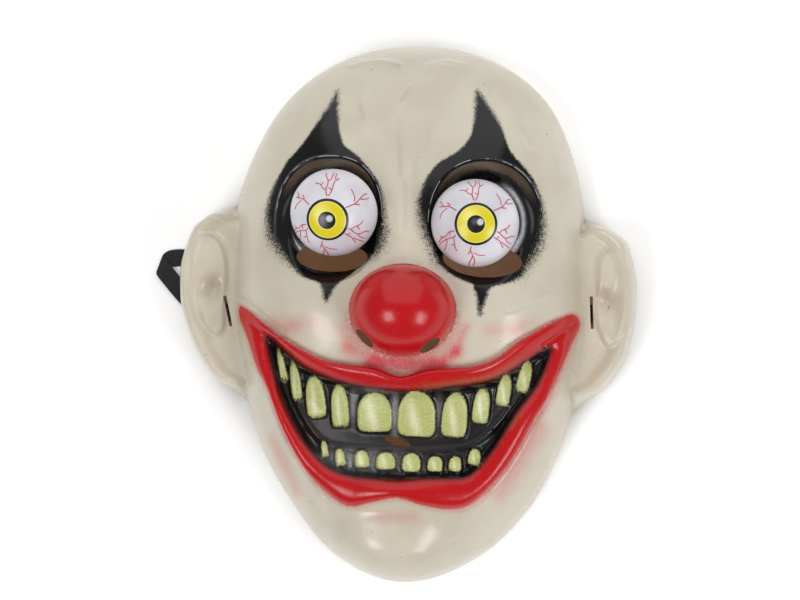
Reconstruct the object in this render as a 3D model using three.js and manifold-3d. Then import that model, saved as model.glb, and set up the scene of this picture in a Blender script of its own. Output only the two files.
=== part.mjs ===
import * as THREE from 'three';
import { mergeVertices } from 'three/addons/utils/BufferGeometryUtils.js';
import Module from 'manifold-3d';

// A formed clown mask, lying face up on its rim. Millimetres, +X to the viewer's right,
// +Y to the crown, +Z out of the face, z = 0 at the rim.

// Driving dimensions
const HALF = 130; // half the height from chin to crown
const WALL = 1.5; // the formed sheet
const CROWN = 62; // the plain dome's height above the rim
const DOME_POWER = 2.5; // fullness of the dome's sides
const RIM_CROWDING = 0.3; // how much closer the dome's rings lie near the rim
const EAR_LIFT = 5; // the ears' edges hang this far above the rim's plane
const EYE_RADIUS = 21.3;
const EYE_WALL = 1.2;
const STRAP_WIDTH = 8.6;
const STRAP_THICK = 0.9;
const GAP = 0.3; // clearance between pieces

// The tables that follow are in hundredths of HALF
const SHARE = HALF / 100;

// Centre to rim without the ears, anticlockwise from +X, every 15 degrees
const HEAD_REACH = [
  67, 69, 74, 84, 95, 100, 100.5, 99, 93.5, 84.5, 76.5, 70,
  67.5, 67, 69, 75, 83, 94, 100, 95.5, 87, 78, 71, 68,
];

// Centre to the ears' edges: degrees above the horizontal, left, right
const EAR_REACH = [
  [30, 76.7, 74],
  [25, 83, 80.5],
  [20, 87.2, 85.5],
  [10, 87.7, 85.5],
  [0, 85.5, 84],
  [-10, 81.5, 82.3],
  [-20, 77, 77.5],
  [-25, 71.5, 72.5],
  [-30, 68.8, 71],
];

// An ear's section in millimetres from its edge inwards, how much of the reach it takes up,
// where it fades into the face in degrees, and the swells on it
const EAR = {
  helixHeight: 25, helixWidth: 6, dip: 8, dipWidth: 7, inwards: 0.36, fadeFrom: 24, fadeTo: 31,
  swells: [
    { x: 74.5, y: 17, rx: 5, ry: 8, rise: 4 },
    { x: 71, y: 4, rx: 3.5, ry: 4.5, rise: -3.5 },
    { x: 74, y: -11, rx: 5, ry: 8, rise: 3 },
  ],
};

// Soft swells and hollows of the face
const SWELLS = [
  { x: -36, y: 0, rx: 16, ry: 11, rise: 3.4 }, // cheeks
  { x: 40, y: 2, rx: 16, ry: 11, rise: 3.4 },
  { x: -28, y: 61, rx: 20, ry: 8, rise: 2.4 }, // brow
  { x: 28, y: 61, rx: 20, ry: 8, rise: 2.4 },
  { x: -9, y: 28, rx: 5, ry: 13, rise: -3.2 }, // beside the bridge
  { x: 9, y: 28, rx: 5, ry: 13, rise: -3.2 },
  { x: 0, y: 34, rx: 3.5, ry: 18, rise: 1.2 }, // bridge
  { x: 0, y: -40, rx: 34, ry: 22, rise: 2 }, // muzzle
  { x: 0, y: -83, rx: 17, ry: 9, rise: 4.5 }, // chin
  { x: 0, y: -75.5, rx: 16, ry: 3, rise: -2.2 }, // fold above the chin
  { x: -58, y: 48, rx: 8, ry: 16, rise: -1.6 }, // temples
  { x: 58, y: 48, rx: 8, ry: 16, rise: -1.6 },
];

const SOCKETS = {
  left: { x: -28.5, y: 31, rx: 19.2, ry: 23, pressed: 0.86 },
  right: { x: 28.3, y: 31.7, rx: 20, ry: 22.8, pressed: 0.93 },
};
const SOCKET_FLOOR = CROWN - 17; // height of the bottom of a socket
const SOCKET_TOP = 1; // height of a bowl's widest line above the plain dome
const BULGE = { radius: EYE_RADIUS + 1.2, top: SOCKET_FLOOR + 9 }; // the moulded ball in each socket

const NOSE = { x: 0, y: -1, rx: 18.9, ry: 16.5, base: CROWN - 2, rise: 27 };

// The mouth from left to right: x, upper lip's top, opening's top, opening's bottom,
// lower lip's bottom
const MOUTH = [
  [-64, -0.5, -3.5, -3.5, -6],
  [-59, -2.5, -7, -7, -10.5],
  [-54, -5, -13.3, -13.5, -22.5],
  [-49, -8, -14, -21, -32],
  [-43, -12, -17.7, -36, -45.5],
  [-35.5, -16.3, -22.3, -48.5, -58],
  [-27.5, -19.6, -25.4, -57, -66.5],
  [-18.5, -21.7, -27.8, -60.8, -72],
  [-9, -22.8, -29.2, -61.5, -70],
  [0, -23.8, -29.7, -61.8, -68.2],
  [9, -22.4, -29.3, -61, -70.6],
  [18.5, -21.5, -27.7, -60.6, -71.8],
  [26, -20, -26.5, -59, -70],
  [34, -16.8, -24.2, -49.4, -62.5],
  [41.5, -10.5, -20.4, -36.5, -52.3],
  [49, -5, -14.5, -25.5, -37.7],
  [55.5, -1.5, -9.6, -14.6, -26],
  [60, 1, -6.5, -6.5, -13.5],
  [64, -0.8, -3, -3, -5.5],
];
const LIP_RISE = 4.2;
const LIP_FADE = 0.65; // how much of the rise is lost at the corners
const MOUTH_DEPTH = 5.5;

// Teeth: x, y, width, height, lean in degrees
const TEETH = [
  [-44.3, -21.5, 2.5, 11.3, -14],
  [-38.9, -27.2, 3.7, 13.5, -9],
  [-31.2, -32.8, 7.2, 14.6, -7],
  [-22, -35.8, 6.5, 14.8, -4],
  [-9.2, -37.7, 12.6, 13.8, -1],
  [6, -37.8, 13.6, 16, 1],
  [19.6, -37.6, 9.1, 15.7, 4],
  [29, -34, 5.9, 12.4, 6],
  [37, -28.2, 4.8, 11, 9],
  [44.2, -23, 4.5, 11, 12],
  [-27.4, -51.4, 2.5, 5.7, -10],
  [-21.6, -54.2, 3.5, 6, -8],
  [-13.5, -54.6, 5.2, 6, -4],
  [-4.8, -55, 7, 6, -2],
  [4.5, -55.2, 6.6, 6.6, 0],
  [13, -55.4, 5.4, 5.4, 2],
  [20.2, -55.2, 4.4, 5.4, 5],
  [27, -52.5, 4.4, 5.7, 8],
];
const TOOTH_RISE = 3;

// Openings through the sheet: x, y, width, height, turn in degrees
const OPENINGS = [
  [-26.7, 17.8, 26, 10.6, 0], // peep holes
  [27.7, 18.3, 28.6, 12.4, -3],
  [-13, -11.6, 8.6, 2.8, -43], // nostrils
  [10.4, -13.3, 8.2, 2.8, 36],
  [-0.8, -48, 10, 2.6, -14], // between the teeth
];
const SLITS = [
  [-66.7, -1.8, 1.15, 11.5, 14],
  [67.7, 1.9, 1.15, 12, 3.5],
];

// Half-ball eyes: centre of the open edge, and where the iris points
const EYE_EDGE = CROWN - 3; // height of an open edge's centre
const EYES = {
  left: { x: -26, y: 33.6, lookX: -0.07, lookY: -0.22 },
  right: { x: 24.8, y: 31.2, lookX: 0.056, lookY: -0.066 },
};
const POST_RADIUS = 4;

// The strap's route: x, y, height in millimetres, heading of its width in degrees. It leaves
// the left slit, passes under the ear, folds under itself and crosses to the right slit.
const STRAP_ROUTE = [
  [-66.7, -1.8, 15.2, 104],
  [-66.7, -1.8, 11.5, 104],
  [-68.3, -1.8, 6.5, 102],
  [-72, -1.8, 3, 97],
  [-77.5, -1, 1.9, 82],
  [-81.5, 1.2, 1.9, 58],
  [-84.5, 3.6, 1.9, 46],
  [-88.6, 8, 1.9, 44],
  [-91.4, 11.2, 1.9, 45],
  [-93.7, 13.8, 1.85, 54],
  [-95, 15.7, 1.3, 70],
  [-93.6, 17.1, 0.7, 80],
  [-90.5, 18.1, 0.6, 87],
  [-84.6, 18.3, 0.6, 90],
  [-73, 17, 0.6, 86],
  [-60, 13.2, 0.6, 82],
  [-42, 7.2, 0.6, 82],
  [-15, 2.6, 0.6, 86],
  [15, 1, 0.6, 89],
  [42, 0.8, 0.6, 90],
  [57, 0.9, 1.2, 91],
  [63, 1.4, 4.4, 92],
  [66.6, 1.8, 8.5, 93],
  [67.7, 1.9, 12, 93.5],
  [67.7, 1.9, 15, 93.5],
];
const STRAP_STEPS = 60;

const COLOURS = {
  skin: 0xcdc6b4, eyeball: 0xdedce2, post: 0xd8d8d4, elastic: 0x151515,
};

const wasm = await Module();
wasm.setup();

const smoothstep = (t) => THREE.MathUtils.smoothstep(t, 0, 1);
const degrees = THREE.MathUtils.radToDeg;
const radians = THREE.MathUtils.degToRad;

// Catmull-Rom through four neighbouring values
function cubic(a, b, c, d, t) {
  const m0 = (c - a) / 2;
  const m1 = (d - b) / 2;
  return b + t * (m0 + t * (3 * (c - b) - 2 * m0 - m1 + t * (2 * (b - c) + m0 + m1)));
}

// A column of a table by its first column, straight between rows and held beyond its ends
function column(table, key, at) {
  const rising = table[1][0] > table[0][0];
  const index = table.findIndex((row) => (rising ? row[0] > at : row[0] < at));
  if (index === 0) return table[0][key];
  if (index < 0) return table[table.length - 1][key];
  const [low, high] = [table[index - 1], table[index]];
  const t = (at - low[0]) / (high[0] - low[0]);
  return THREE.MathUtils.lerp(low[key], high[key], t);
}

function headReach(angle) {
  const count = HEAD_REACH.length;
  const at = THREE.MathUtils.euclideanModulo(angle / (2 * Math.PI), 1) * count;
  const i = Math.floor(at);
  const pick = (k) => HEAD_REACH[(i + k + count) % count];
  return SHARE * cubic(pick(-1), pick(0), pick(1), pick(2), at - i);
}

// Degrees above the horizontal, on either side
const lean = (angle) => degrees(Math.atan2(Math.sin(angle), Math.abs(Math.cos(angle))));

function fullReach(angle) {
  const tilt = lean(angle);
  if (Math.abs(tilt) >= EAR.fadeTo) return headReach(angle);
  const side = Math.cos(angle) < 0 ? 1 : 2;
  const ear = SHARE * column(EAR_REACH, side, tilt);
  return Math.max(ear, headReach(angle));
}

const earShare = (angle) =>
  1 - smoothstep((Math.abs(lean(angle)) - EAR.fadeFrom) / (EAR.fadeTo - EAR.fadeFrom));

const swell = ({ x, y, rx, ry, rise }, px, py) =>
  rise * Math.exp(-(((px / SHARE - x) / rx) ** 2) - ((py / SHARE - y) / ry) ** 2);

function earHeight(x, y, inset) {
  const angle = Math.atan2(y, x);
  const fade = earShare(angle);
  if (fade === 0) return 0;
  const fromEdge = fullReach(angle) - Math.hypot(x, y) - inset;
  if (fromEdge <= 0) return 0;
  const roll = Math.min(fromEdge / (EAR.helixWidth + inset), 1);
  let height = (EAR.helixHeight - inset) * Math.sqrt(roll * (2 - roll));
  height -= EAR.dip * smoothstep((fromEdge - EAR.helixWidth + inset) / EAR.dipWidth);
  for (const bump of EAR.swells) {
    if (inset === 0 || bump.rise < 0) height += swell(bump, Math.abs(x), y) * roll;
  }
  return Math.max(height - inset, 0) * fade;
}

// Height of the plain face over a point of the rim's plane. inset moves the surface
// inwards, which gives the sheet's other side.
function faceHeight(x, y, inset = 0) {
  const angle = Math.atan2(y, x);
  const share = Math.hypot(x, y) / (headReach(angle) - inset);
  if (share >= 1) return 0;
  const side = Math.sqrt(1 - share ** DOME_POWER);
  let height = CROWN - inset;
  for (const bump of SWELLS) height += swell(bump, x, y);
  return height * side;
}

// A closed solid under the face: a square grid drawn onto rings round the centre, closer
// together near the rim, lowered by drop, with walls down to its foot
function faceSolid(rings, inset, drop = 0) {
  const across = 2 * rings + 1;
  const points = [];
  for (let j = -rings; j <= rings; j += 1) {
    for (let i = -rings; i <= rings; i += 1) {
      const ring = Math.max(Math.abs(i), Math.abs(j)) / rings;
      const angle = squareAngle(i, j);
      const radius = ring * (1 + RIM_CROWDING * (1 - ring ** 2)) * (headReach(angle) - inset);
      const [x, y] = [radius * Math.cos(angle), radius * Math.sin(angle)];
      points.push([x, y, (ring === 1 ? 0 : faceHeight(x, y, inset)) - drop]);
    }
  }
  const leaning = (i, j) => (i - rings + 0.5) * (j - rings + 0.5) > 0;
  return gridSolid(points, across, across, footOf(inset) - drop, leaning);
}

const footOf = (inset) => (inset > 0 ? -HALF / 5 : -HALF / 10);

// An ear: a grid from its edge inwards, deep enough to end inside the face
function earSolid(side, inset) {
  const [along, inwards] = inset > 0 ? [12, 6] : [18, 9];
  const points = [];
  for (let j = 0; j <= inwards; j += 1) {
    for (let i = 0; i <= along; i += 1) {
      const tilt = radians(THREE.MathUtils.lerp(-EAR.fadeTo, EAR.fadeTo, i / along));
      const angle = side > 0 ? tilt : Math.PI - tilt;
      const share = (j / inwards) ** 1.4;
      const radius = (fullReach(angle) - inset) * (1 - EAR.inwards * share);
      const [x, y] = [radius * Math.cos(angle), radius * Math.sin(angle)];
      points.push([x, y, earHeight(x, y, inset)]);
    }
  }
  const mirrored = side > 0 ? points : points.map((point, k) => {
    const [row, i] = [Math.floor(k / (along + 1)), k % (along + 1)];
    return points[row * (along + 1) + along - i];
  });
  return gridSolid(mirrored, along + 1, inwards + 1, footOf(inset), () => true);
}

// Skins a grid of points and closes it with walls and a flat foot. leaning tells which way
// a cell's diagonal runs.
function gridSolid(points, across, down, foot, leaning) {
  const count = points.length;
  const all = points.concat(points.map(([x, y]) => [x, y, foot]));
  const triangles = [];
  for (let j = 0; j < down - 1; j += 1) {
    for (let i = 0; i < across - 1; i += 1) {
      const a = j * across + i;
      const [b, c, d] = [a + 1, a + across + 1, a + across];
      const cell = leaning(i, j) ? [[a, b, c], [a, c, d]] : [[a, b, d], [b, c, d]];
      triangles.push(...cell, ...cell.map(([p, q, r]) => [p + count, r + count, q + count]));
    }
  }
  const loop = borderLoop(across, down);
  loop.forEach((a, k) => {
    const b = loop[(k + 1) % loop.length];
    triangles.push([a, a + count, b], [a + count, b + count, b]);
  });
  return solidFrom(all, triangles);
}

// A grid's border, in the order that its triangles turn
function borderLoop(across, down) {
  const [right, end] = [across - 1, down - 1];
  const loop = [];
  for (let i = 0; i < right; i += 1) loop.push(i);
  for (let j = 0; j < end; j += 1) loop.push(j * across + right);
  for (let i = right; i > 0; i -= 1) loop.push(end * across + i);
  for (let j = end; j > 0; j -= 1) loop.push(j * across);
  return loop;
}

// Angle of a square grid's point when its rings are bent into circles
function squareAngle(i, j) {
  if (i === 0 && j === 0) return 0;
  if (Math.abs(i) >= Math.abs(j)) return (Math.PI / 4) * (j / i) + (i < 0 ? Math.PI : 0);
  return Math.PI / 2 - (Math.PI / 4) * (i / j) + (j < 0 ? Math.PI : 0);
}

function solidFrom(points, triangles) {
  const mesh = new wasm.Mesh({
    numProp: 3,
    vertProperties: new Float32Array(points.flat()),
    triVerts: new Uint32Array(triangles.flat()),
  });
  return new wasm.Manifold(mesh);
}

function solidOf(geometry) {
  geometry.deleteAttribute('normal');
  geometry.deleteAttribute('uv');
  const merged = mergeVertices(geometry);
  return new wasm.Manifold(new wasm.Mesh({
    numProp: 3,
    vertProperties: new Float32Array(merged.attributes.position.array),
    triVerts: new Uint32Array(merged.index.array),
  }));
}

function geometryOf(solid) {
  const mesh = solid.getMesh();
  const geometry = new THREE.BufferGeometry();
  geometry.setAttribute('position', new THREE.BufferAttribute(mesh.vertProperties, mesh.numProp));
  geometry.setIndex(new THREE.BufferAttribute(mesh.triVerts, 1));
  return geometry;
}

// A ball stretched to three half sizes; below 1, power presses its outline towards a block
function ballSolid(rx, ry, rz, segments, power = 1) {
  const ball = new THREE.SphereGeometry(1, segments, Math.round(segments / 2));
  ball.rotateX(Math.PI / 2);
  const place = ball.attributes.position;
  const press = (value) => Math.sign(value) * Math.abs(value) ** power;
  for (let i = 0; i < place.count; i += 1) {
    place.setXYZ(i, press(place.getX(i)), press(place.getY(i)), place.getZ(i));
  }
  ball.scale(rx, ry, rz);
  return ball;
}

function toothSolid([x, y, width, height, turn]) {
  const sink = 2 * TOOTH_RISE;
  const ball = ballSolid((width / 2) * SHARE, (height / 2) * SHARE, sink, 8, 0.7);
  ball.rotateZ(radians(-turn));
  const gum = faceHeight(x * SHARE, y * SHARE) - MOUTH_DEPTH;
  ball.translate(x * SHARE, y * SHARE, gum + TOOTH_RISE - sink);
  return solidOf(ball);
}

function noseSolid(inset) {
  const [rx, ry] = [NOSE.rx * SHARE - inset, NOSE.ry * SHARE - inset];
  const ball = ballSolid(rx, ry, NOSE.rise - inset, inset > 0 ? 14 : 20);
  return solidOf(ball.translate(NOSE.x * SHARE, NOSE.y * SHARE, NOSE.base));
}

// The bowl round an eye, and the moulded ball at its bottom
function socketBowl({ x, y, rx, ry, pressed }, inset) {
  const depth = CROWN + SOCKET_TOP - SOCKET_FLOOR + inset;
  const bowl = ballSolid(rx * SHARE + inset, ry * SHARE + inset, depth, inset > 0 ? 14 : 20, pressed);
  return solidOf(bowl.translate(x * SHARE, y * SHARE, CROWN + SOCKET_TOP));
}

function bulgeSolid({ x, y }, inset) {
  const radius = BULGE.radius - inset;
  const ball = ballSolid(radius, radius, BULGE.top - SOCKET_FLOOR - inset, inset > 0 ? 12 : 16);
  return solidOf(ball.translate(x * SHARE, y * SHARE, SOCKET_FLOOR));
}

// The space over the gums: the opening's outline, down to the lowered face
function mouthSpace(inset) {
  const open = MOUTH.filter(([, , high, low]) => high > low);
  const widen = 1 + inset / (open[open.length - 1][0] * SHARE);
  const top = open.map(([x, , high]) => [x * SHARE * widen, high * SHARE + inset]);
  const bottom = open.map(([x, , , low]) => [x * SHARE * widen, low * SHARE - inset]);
  const outline = new THREE.Shape(
    bottom.concat(top.reverse()).map(([x, y]) => new THREE.Vector2(x, y)),
  );
  const prism = new THREE.ExtrudeGeometry(outline, { depth: 2 * CROWN, bevelEnabled: false });
  return solidOf(prism).subtract(faceSolid(8, inset, MOUTH_DEPTH));
}

// A lip: a rounded ridge between two columns of the mouth's table
function lipSolid(outer, inner) {
  const sides = 8;
  const end = MOUTH[MOUTH.length - 1][0];
  const points = [];
  for (const row of MOUTH) {
    const rise = LIP_RISE * (1 - LIP_FADE * (row[0] / end) ** 4);
    const [x, middle] = [row[0] * SHARE, ((row[outer] + row[inner]) / 2) * SHARE];
    const half = (Math.abs(row[outer] - row[inner]) / 2) * SHARE;
    for (let k = 0; k < sides; k += 1) {
      const angle = (2 * Math.PI * k) / sides;
      const y = middle + half * Math.cos(angle);
      points.push([x, y, faceHeight(x, middle) + rise * Math.sin(angle)]);
    }
  }
  return solidOf(tubeGeometry(points, sides));
}

// An upright cutter through the sheet: round-ended for the openings
function ovalCutter([x, y, width, height, turn]) {
  const shape = new THREE.CylinderGeometry(0.5, 0.5, 2 * HALF, 16);
  shape.rotateX(Math.PI / 2);
  shape.scale(width * SHARE, height * SHARE, 1);
  shape.rotateZ(radians(turn));
  shape.translate(x * SHARE, y * SHARE, 0);
  return solidOf(shape);
}

function slitCutter([x, y, width, height, turn]) {
  const shape = new THREE.BoxGeometry(width * SHARE, height * SHARE, 2 * HALF);
  shape.rotateZ(radians(turn));
  shape.translate(x * SHARE, y * SHARE, 0);
  return solidOf(shape);
}

// What lies below the rim, which is raised under the ears
function belowRim() {
  const floor = new THREE.BoxGeometry(4 * HALF, 4 * HALF, HALF);
  floor.translate(0, 0, -HALF / 2);
  let solid = solidOf(floor);
  const top = Math.sin(radians(EAR.fadeFrom + 1)) * EAR_REACH[2][1] * SHARE;
  for (const side of [-1, 1]) {
    const raised = new THREE.BoxGeometry(HALF, 2 * top, HALF);
    raised.translate(side * (headReach(0) - GAP + HALF / 2), 0, EAR_LIFT - HALF / 2);
    solid = solid.add(solidOf(raised));
  }
  return solid;
}

// One side of the sheet as a solid down to its foot
function formedSolid(rings, inset) {
  let form = faceSolid(rings, inset);
  for (const socket of Object.values(SOCKETS)) form = form.subtract(socketBowl(socket, inset));
  for (const socket of Object.values(SOCKETS)) form = form.add(bulgeSolid(socket, inset));
  form = form.add(noseSolid(inset)).subtract(mouthSpace(inset));
  return form.add(earSolid(-1, inset)).add(earSolid(1, inset));
}

function shellGeometry() {
  let shell = formedSolid(18, 0).add(lipSolid(1, 2)).add(lipSolid(4, 3));
  for (const tooth of TEETH) shell = shell.add(toothSolid(tooth));
  shell = shell.subtract(formedSolid(11, WALL));
  for (const hole of OPENINGS) shell = shell.subtract(ovalCutter(hole));
  for (const slit of SLITS) shell = shell.subtract(slitCutter(slit));
  return geometryOf(shell.subtract(belowRim()));
}

// A half-ball with a wall, its open edge on z = 0
function eyeballGeometry() {
  const steps = 6;
  const profile = [];
  for (let i = 0; i <= steps; i += 1) {
    const angle = (Math.PI / 2) * (i / steps);
    profile.push(new THREE.Vector2(EYE_RADIUS * Math.cos(angle), EYE_RADIUS * Math.sin(angle)));
  }
  const inner = EYE_RADIUS - EYE_WALL;
  for (let i = steps; i >= 0; i -= 1) {
    const angle = (Math.PI / 2) * (i / steps);
    profile.push(new THREE.Vector2(inner * Math.cos(angle), inner * Math.sin(angle)));
  }
  profile.push(profile[0].clone());
  profile[steps].x = 0;
  profile[steps + 1].x = 0;
  return new THREE.LatheGeometry(profile, 18).rotateX(Math.PI / 2);
}

// The stem between the socket's moulded ball and the inside of an eye
function postGeometry(eye) {
  const inner = EYE_RADIUS - EYE_WALL;
  const top = Math.sqrt(inner ** 2 - POST_RADIUS ** 2) - GAP;
  const foot = BULGE.top + 2 * GAP + POST_RADIUS * Math.hypot(eye.lookX, eye.lookY) - EYE_EDGE;
  const stem = new THREE.CylinderGeometry(POST_RADIUS, POST_RADIUS, top - foot, 12);
  return stem.rotateX(Math.PI / 2).translate(0, 0, (top + foot) / 2);
}

function placeEye(object, eye) {
  const lookZ = Math.sqrt(1 - eye.lookX ** 2 - eye.lookY ** 2);
  const look = new THREE.Vector3(eye.lookX, eye.lookY, lookZ);
  object.quaternion.setFromUnitVectors(new THREE.Vector3(0, 0, 1), look);
  object.position.set(eye.x * SHARE, eye.y * SHARE, EYE_EDGE);
}

// A flat band along the route, its width held level at each station's heading
function strapGeometry() {
  const centres = STRAP_ROUTE.map(([x, y, z]) => new THREE.Vector3(x * SHARE, y * SHARE, z));
  const path = new THREE.CatmullRomCurve3(centres, false, 'centripetal');
  const corner = 0.3;
  const section = [
    [-1, -corner], [-1 + corner / 4, -1], [1 - corner / 4, -1], [1, -corner],
    [1, corner], [1 - corner / 4, 1], [-1 + corner / 4, 1], [-1, corner],
  ];
  const points = [];
  for (let k = 0; k <= STRAP_STEPS; k += 1) {
    const at = (k / STRAP_STEPS) * (STRAP_ROUTE.length - 1);
    const row = Math.min(Math.floor(at), STRAP_ROUTE.length - 2);
    const turn = THREE.MathUtils.lerp(STRAP_ROUTE[row][3], STRAP_ROUTE[row + 1][3], at - row);
    const centre = path.getPoint(k / STRAP_STEPS);
    const travel = path.getTangent(k / STRAP_STEPS);
    const width = new THREE.Vector3(Math.cos(radians(turn)), Math.sin(radians(turn)), 0);
    const thick = new THREE.Vector3().crossVectors(travel, width).normalize();
    for (const [across, up] of section) {
      const point = centre.clone().addScaledVector(width, (across * STRAP_WIDTH) / 2);
      points.push(point.addScaledVector(thick, (up * STRAP_THICK) / 2).toArray());
    }
  }
  return tubeGeometry(points, section.length);
}

// Skins stacked loops of points and closes both ends
function tubeGeometry(points, sides) {
  const triangles = [];
  const last = points.length - sides;
  for (let start = 0; start < last; start += sides) {
    for (let k = 0; k < sides; k += 1) {
      const [a, b] = [start + k, start + ((k + 1) % sides)];
      triangles.push(a, b, a + sides, b, b + sides, a + sides);
    }
  }
  for (let k = 1; k < sides - 1; k += 1) {
    triangles.push(0, k + 1, k, last, last + k, last + k + 1);
  }
  const geometry = new THREE.BufferGeometry();
  geometry.setAttribute('position', new THREE.Float32BufferAttribute(points.flat(), 3));
  geometry.setIndex(triangles);
  return geometry;
}

function addMesh(parent, name, geometry, colour, roughness) {
  const material = new THREE.MeshStandardMaterial({ color: colour, roughness, metalness: 0 });
  const mesh = new THREE.Mesh(geometry, material);
  mesh.name = name;
  parent.add(mesh);
  return mesh;
}

const mask = new THREE.Group();
addMesh(mask, 'mask_shell', shellGeometry(), COLOURS.skin, 0.35);
for (const [side, eye] of Object.entries(EYES)) {
  placeEye(addMesh(mask, `eyeball_${side}`, eyeballGeometry(), COLOURS.eyeball, 0.4), eye);
  placeEye(addMesh(mask, `eye_post_${side}`, postGeometry(eye), COLOURS.post, 0.5), eye);
}
addMesh(mask, 'strap', strapGeometry(), COLOURS.elastic, 0.9);

export default mask;
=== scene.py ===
"""Looks of a formed clown mask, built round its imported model.

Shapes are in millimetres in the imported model's frame: +X to the viewer's right, +Y to
the crown, +Z out of the face, z = 0 at the rim. Meshes are made in metres. The first
tables are in hundredths of the mask's half height.
"""

import logging
import math
from dataclasses import dataclass, field
from enum import Enum

import bpy
import numpy as np
from mathutils import Matrix, Quaternion, Vector


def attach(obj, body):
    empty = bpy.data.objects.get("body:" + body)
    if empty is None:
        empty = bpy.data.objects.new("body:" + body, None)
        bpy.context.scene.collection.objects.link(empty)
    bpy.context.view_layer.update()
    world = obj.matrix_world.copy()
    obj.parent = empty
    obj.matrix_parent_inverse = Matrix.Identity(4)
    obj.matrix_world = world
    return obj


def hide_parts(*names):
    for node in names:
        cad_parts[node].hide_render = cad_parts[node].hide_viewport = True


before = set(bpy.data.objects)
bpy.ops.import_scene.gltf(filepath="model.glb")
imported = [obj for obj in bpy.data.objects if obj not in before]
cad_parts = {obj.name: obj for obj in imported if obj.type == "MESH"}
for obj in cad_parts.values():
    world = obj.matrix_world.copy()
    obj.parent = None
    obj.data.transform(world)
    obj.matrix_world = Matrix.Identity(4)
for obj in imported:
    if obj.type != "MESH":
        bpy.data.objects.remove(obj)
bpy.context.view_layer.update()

METRES = 0.001
BODY = "root"
log = logging.getLogger("clown_mask")

Rows = tuple[tuple[float, ...], ...]
Line = tuple[tuple[float, float], ...]
Colour = tuple[float, float, float, float]

# One hundredth of the mask's half height; the tables down to SLITS are in these
SHARE = 1.3

# Centre to rim without the ears, anticlockwise from +X, every 15 degrees
HEAD_REACH = (
    67, 69, 74, 84, 95, 100, 100.5, 99, 93.5, 84.5, 76.5, 70,
    67.5, 67, 69, 75, 83, 94, 100, 95.5, 87, 78, 71, 68,
)

# Centre to the ears' edges: degrees above the horizontal, left, right
EAR_REACH: Rows = (
    (-30, 68.8, 71), (-25, 71.5, 72.5), (-20, 77, 77.5), (-10, 81.5, 82.3), (0, 85.5, 84),
    (10, 87.7, 85.5), (20, 87.2, 85.5), (25, 83, 80.5), (30, 76.7, 74),
)

# Soft swells and hollows of the face: x, y, half width, half height, rise in millimetres
SWELLS: Rows = (
    (-36, 0, 16, 11, 3.4), (40, 2, 16, 11, 3.4),  # cheeks
    (-28, 61, 20, 8, 2.4), (28, 61, 20, 8, 2.4),  # brow
    (-9, 28, 5, 13, -3.2), (9, 28, 5, 13, -3.2), (0, 34, 3.5, 18, 1.2),  # bridge
    (0, -40, 34, 22, 2),  # muzzle
    (0, -74, 18, 3, -2.2),  # fold above the chin
    (-58, 48, 8, 16, -1.6), (58, 48, 8, 16, -1.6),  # temples
)

# Swells on an ear, in the same columns
EAR_SWELLS: Rows = ((74.8, 15, 4.2, 8, 1.4), (72.6, 5.5, 3.6, 4.2, -4.4), (74.2, -5, 2.4, 4.5, 1.4))

# The mouth from left to right: x, upper lip's top, opening's top, opening's bottom,
# lower lip's bottom
MOUTH: Rows = (
    (-62.1, -1.4, -2, -2, -2.8), (-61.3, 0.1, -3, -3, -5.6), (-58, -1.6, -7, -7, -12.1),
    (-54.2, -4.3, -10, -10, -22), (-50, -7.3, -11.7, -13.2, -29.8), (-47.6, -9, -12.5, -22.8, -34.8),
    (-43, -12.2, -16.4, -35.4, -45.5), (-35.5, -16.3, -22, -48.5, -58),
    (-27.5, -19.6, -25.4, -57, -66.5), (-18.5, -20.9, -27.8, -60.8, -72),
    (-9, -21.6, -29.2, -61.5, -70), (0, -24.6, -29.9, -61.8, -68.2),
    (9, -21.6, -29.3, -61, -70.6), (18.5, -20.8, -27.7, -60.6, -71.8),
    (26, -20, -26.5, -59, -70), (34, -16.8, -24.2, -49.4, -62.5),
    (41.5, -10.6, -19.6, -36.5, -52.3), (49, -5.7, -14, -25.5, -37.7), (53, -3.1, -12, -14.8, -30.5),
    (57.5, -0.6, -8, -8, -19.5), (61, 0.9, -5, -5, -10.2), (63.3, -1, -3, -3, -4.4),
)

# Teeth: x, y, width, height, lean in degrees
TEETH: Rows = (
    (-44.3, -21.5, 2.5, 11.3, -14), (-38.9, -27.2, 3.7, 13.5, -9), (-31.2, -32.8, 7.2, 14.6, -7),
    (-22, -35.8, 6.5, 14.8, -4), (-9.2, -37.7, 12.6, 13.8, -1), (6, -37.8, 13.6, 16, 1),
    (19.6, -37.6, 9.1, 15.7, 4), (29, -34, 5.9, 12.4, 6), (37, -28.2, 4.8, 11, 9),
    (44.2, -23, 4.5, 11, 12), (-27.4, -51.4, 2.5, 5.7, -10), (-21.6, -54.2, 3.5, 6, -8),
    (-13.5, -54.6, 5.2, 6, -4), (-4.8, -55, 7, 6, -2), (4.5, -55.2, 6.6, 6.6, 0),
    (13, -55.4, 5.4, 5.4, 2), (20.2, -55.2, 4.4, 5.4, 5), (27, -52.5, 4.4, 5.7, 8),
)

# Openings through the sheet: x, y, width, height, turn in degrees
OPENINGS: Rows = (
    (-26.7, 17.8, 26, 10.6, 0), (27.7, 18.3, 28.6, 12.4, -3),  # peep holes
    (-13, -11.6, 8.6, 2.8, -43), (10.4, -13.3, 8.2, 2.8, 36),  # nostrils
    (-0.8, -48, 10, 2.6, -14),  # between the teeth
)
SLITS: Rows = ((-66.7, -1.8, 1.15, 11.5, 14), (67.7, 1.9, 1.15, 12, 3.5))

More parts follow.
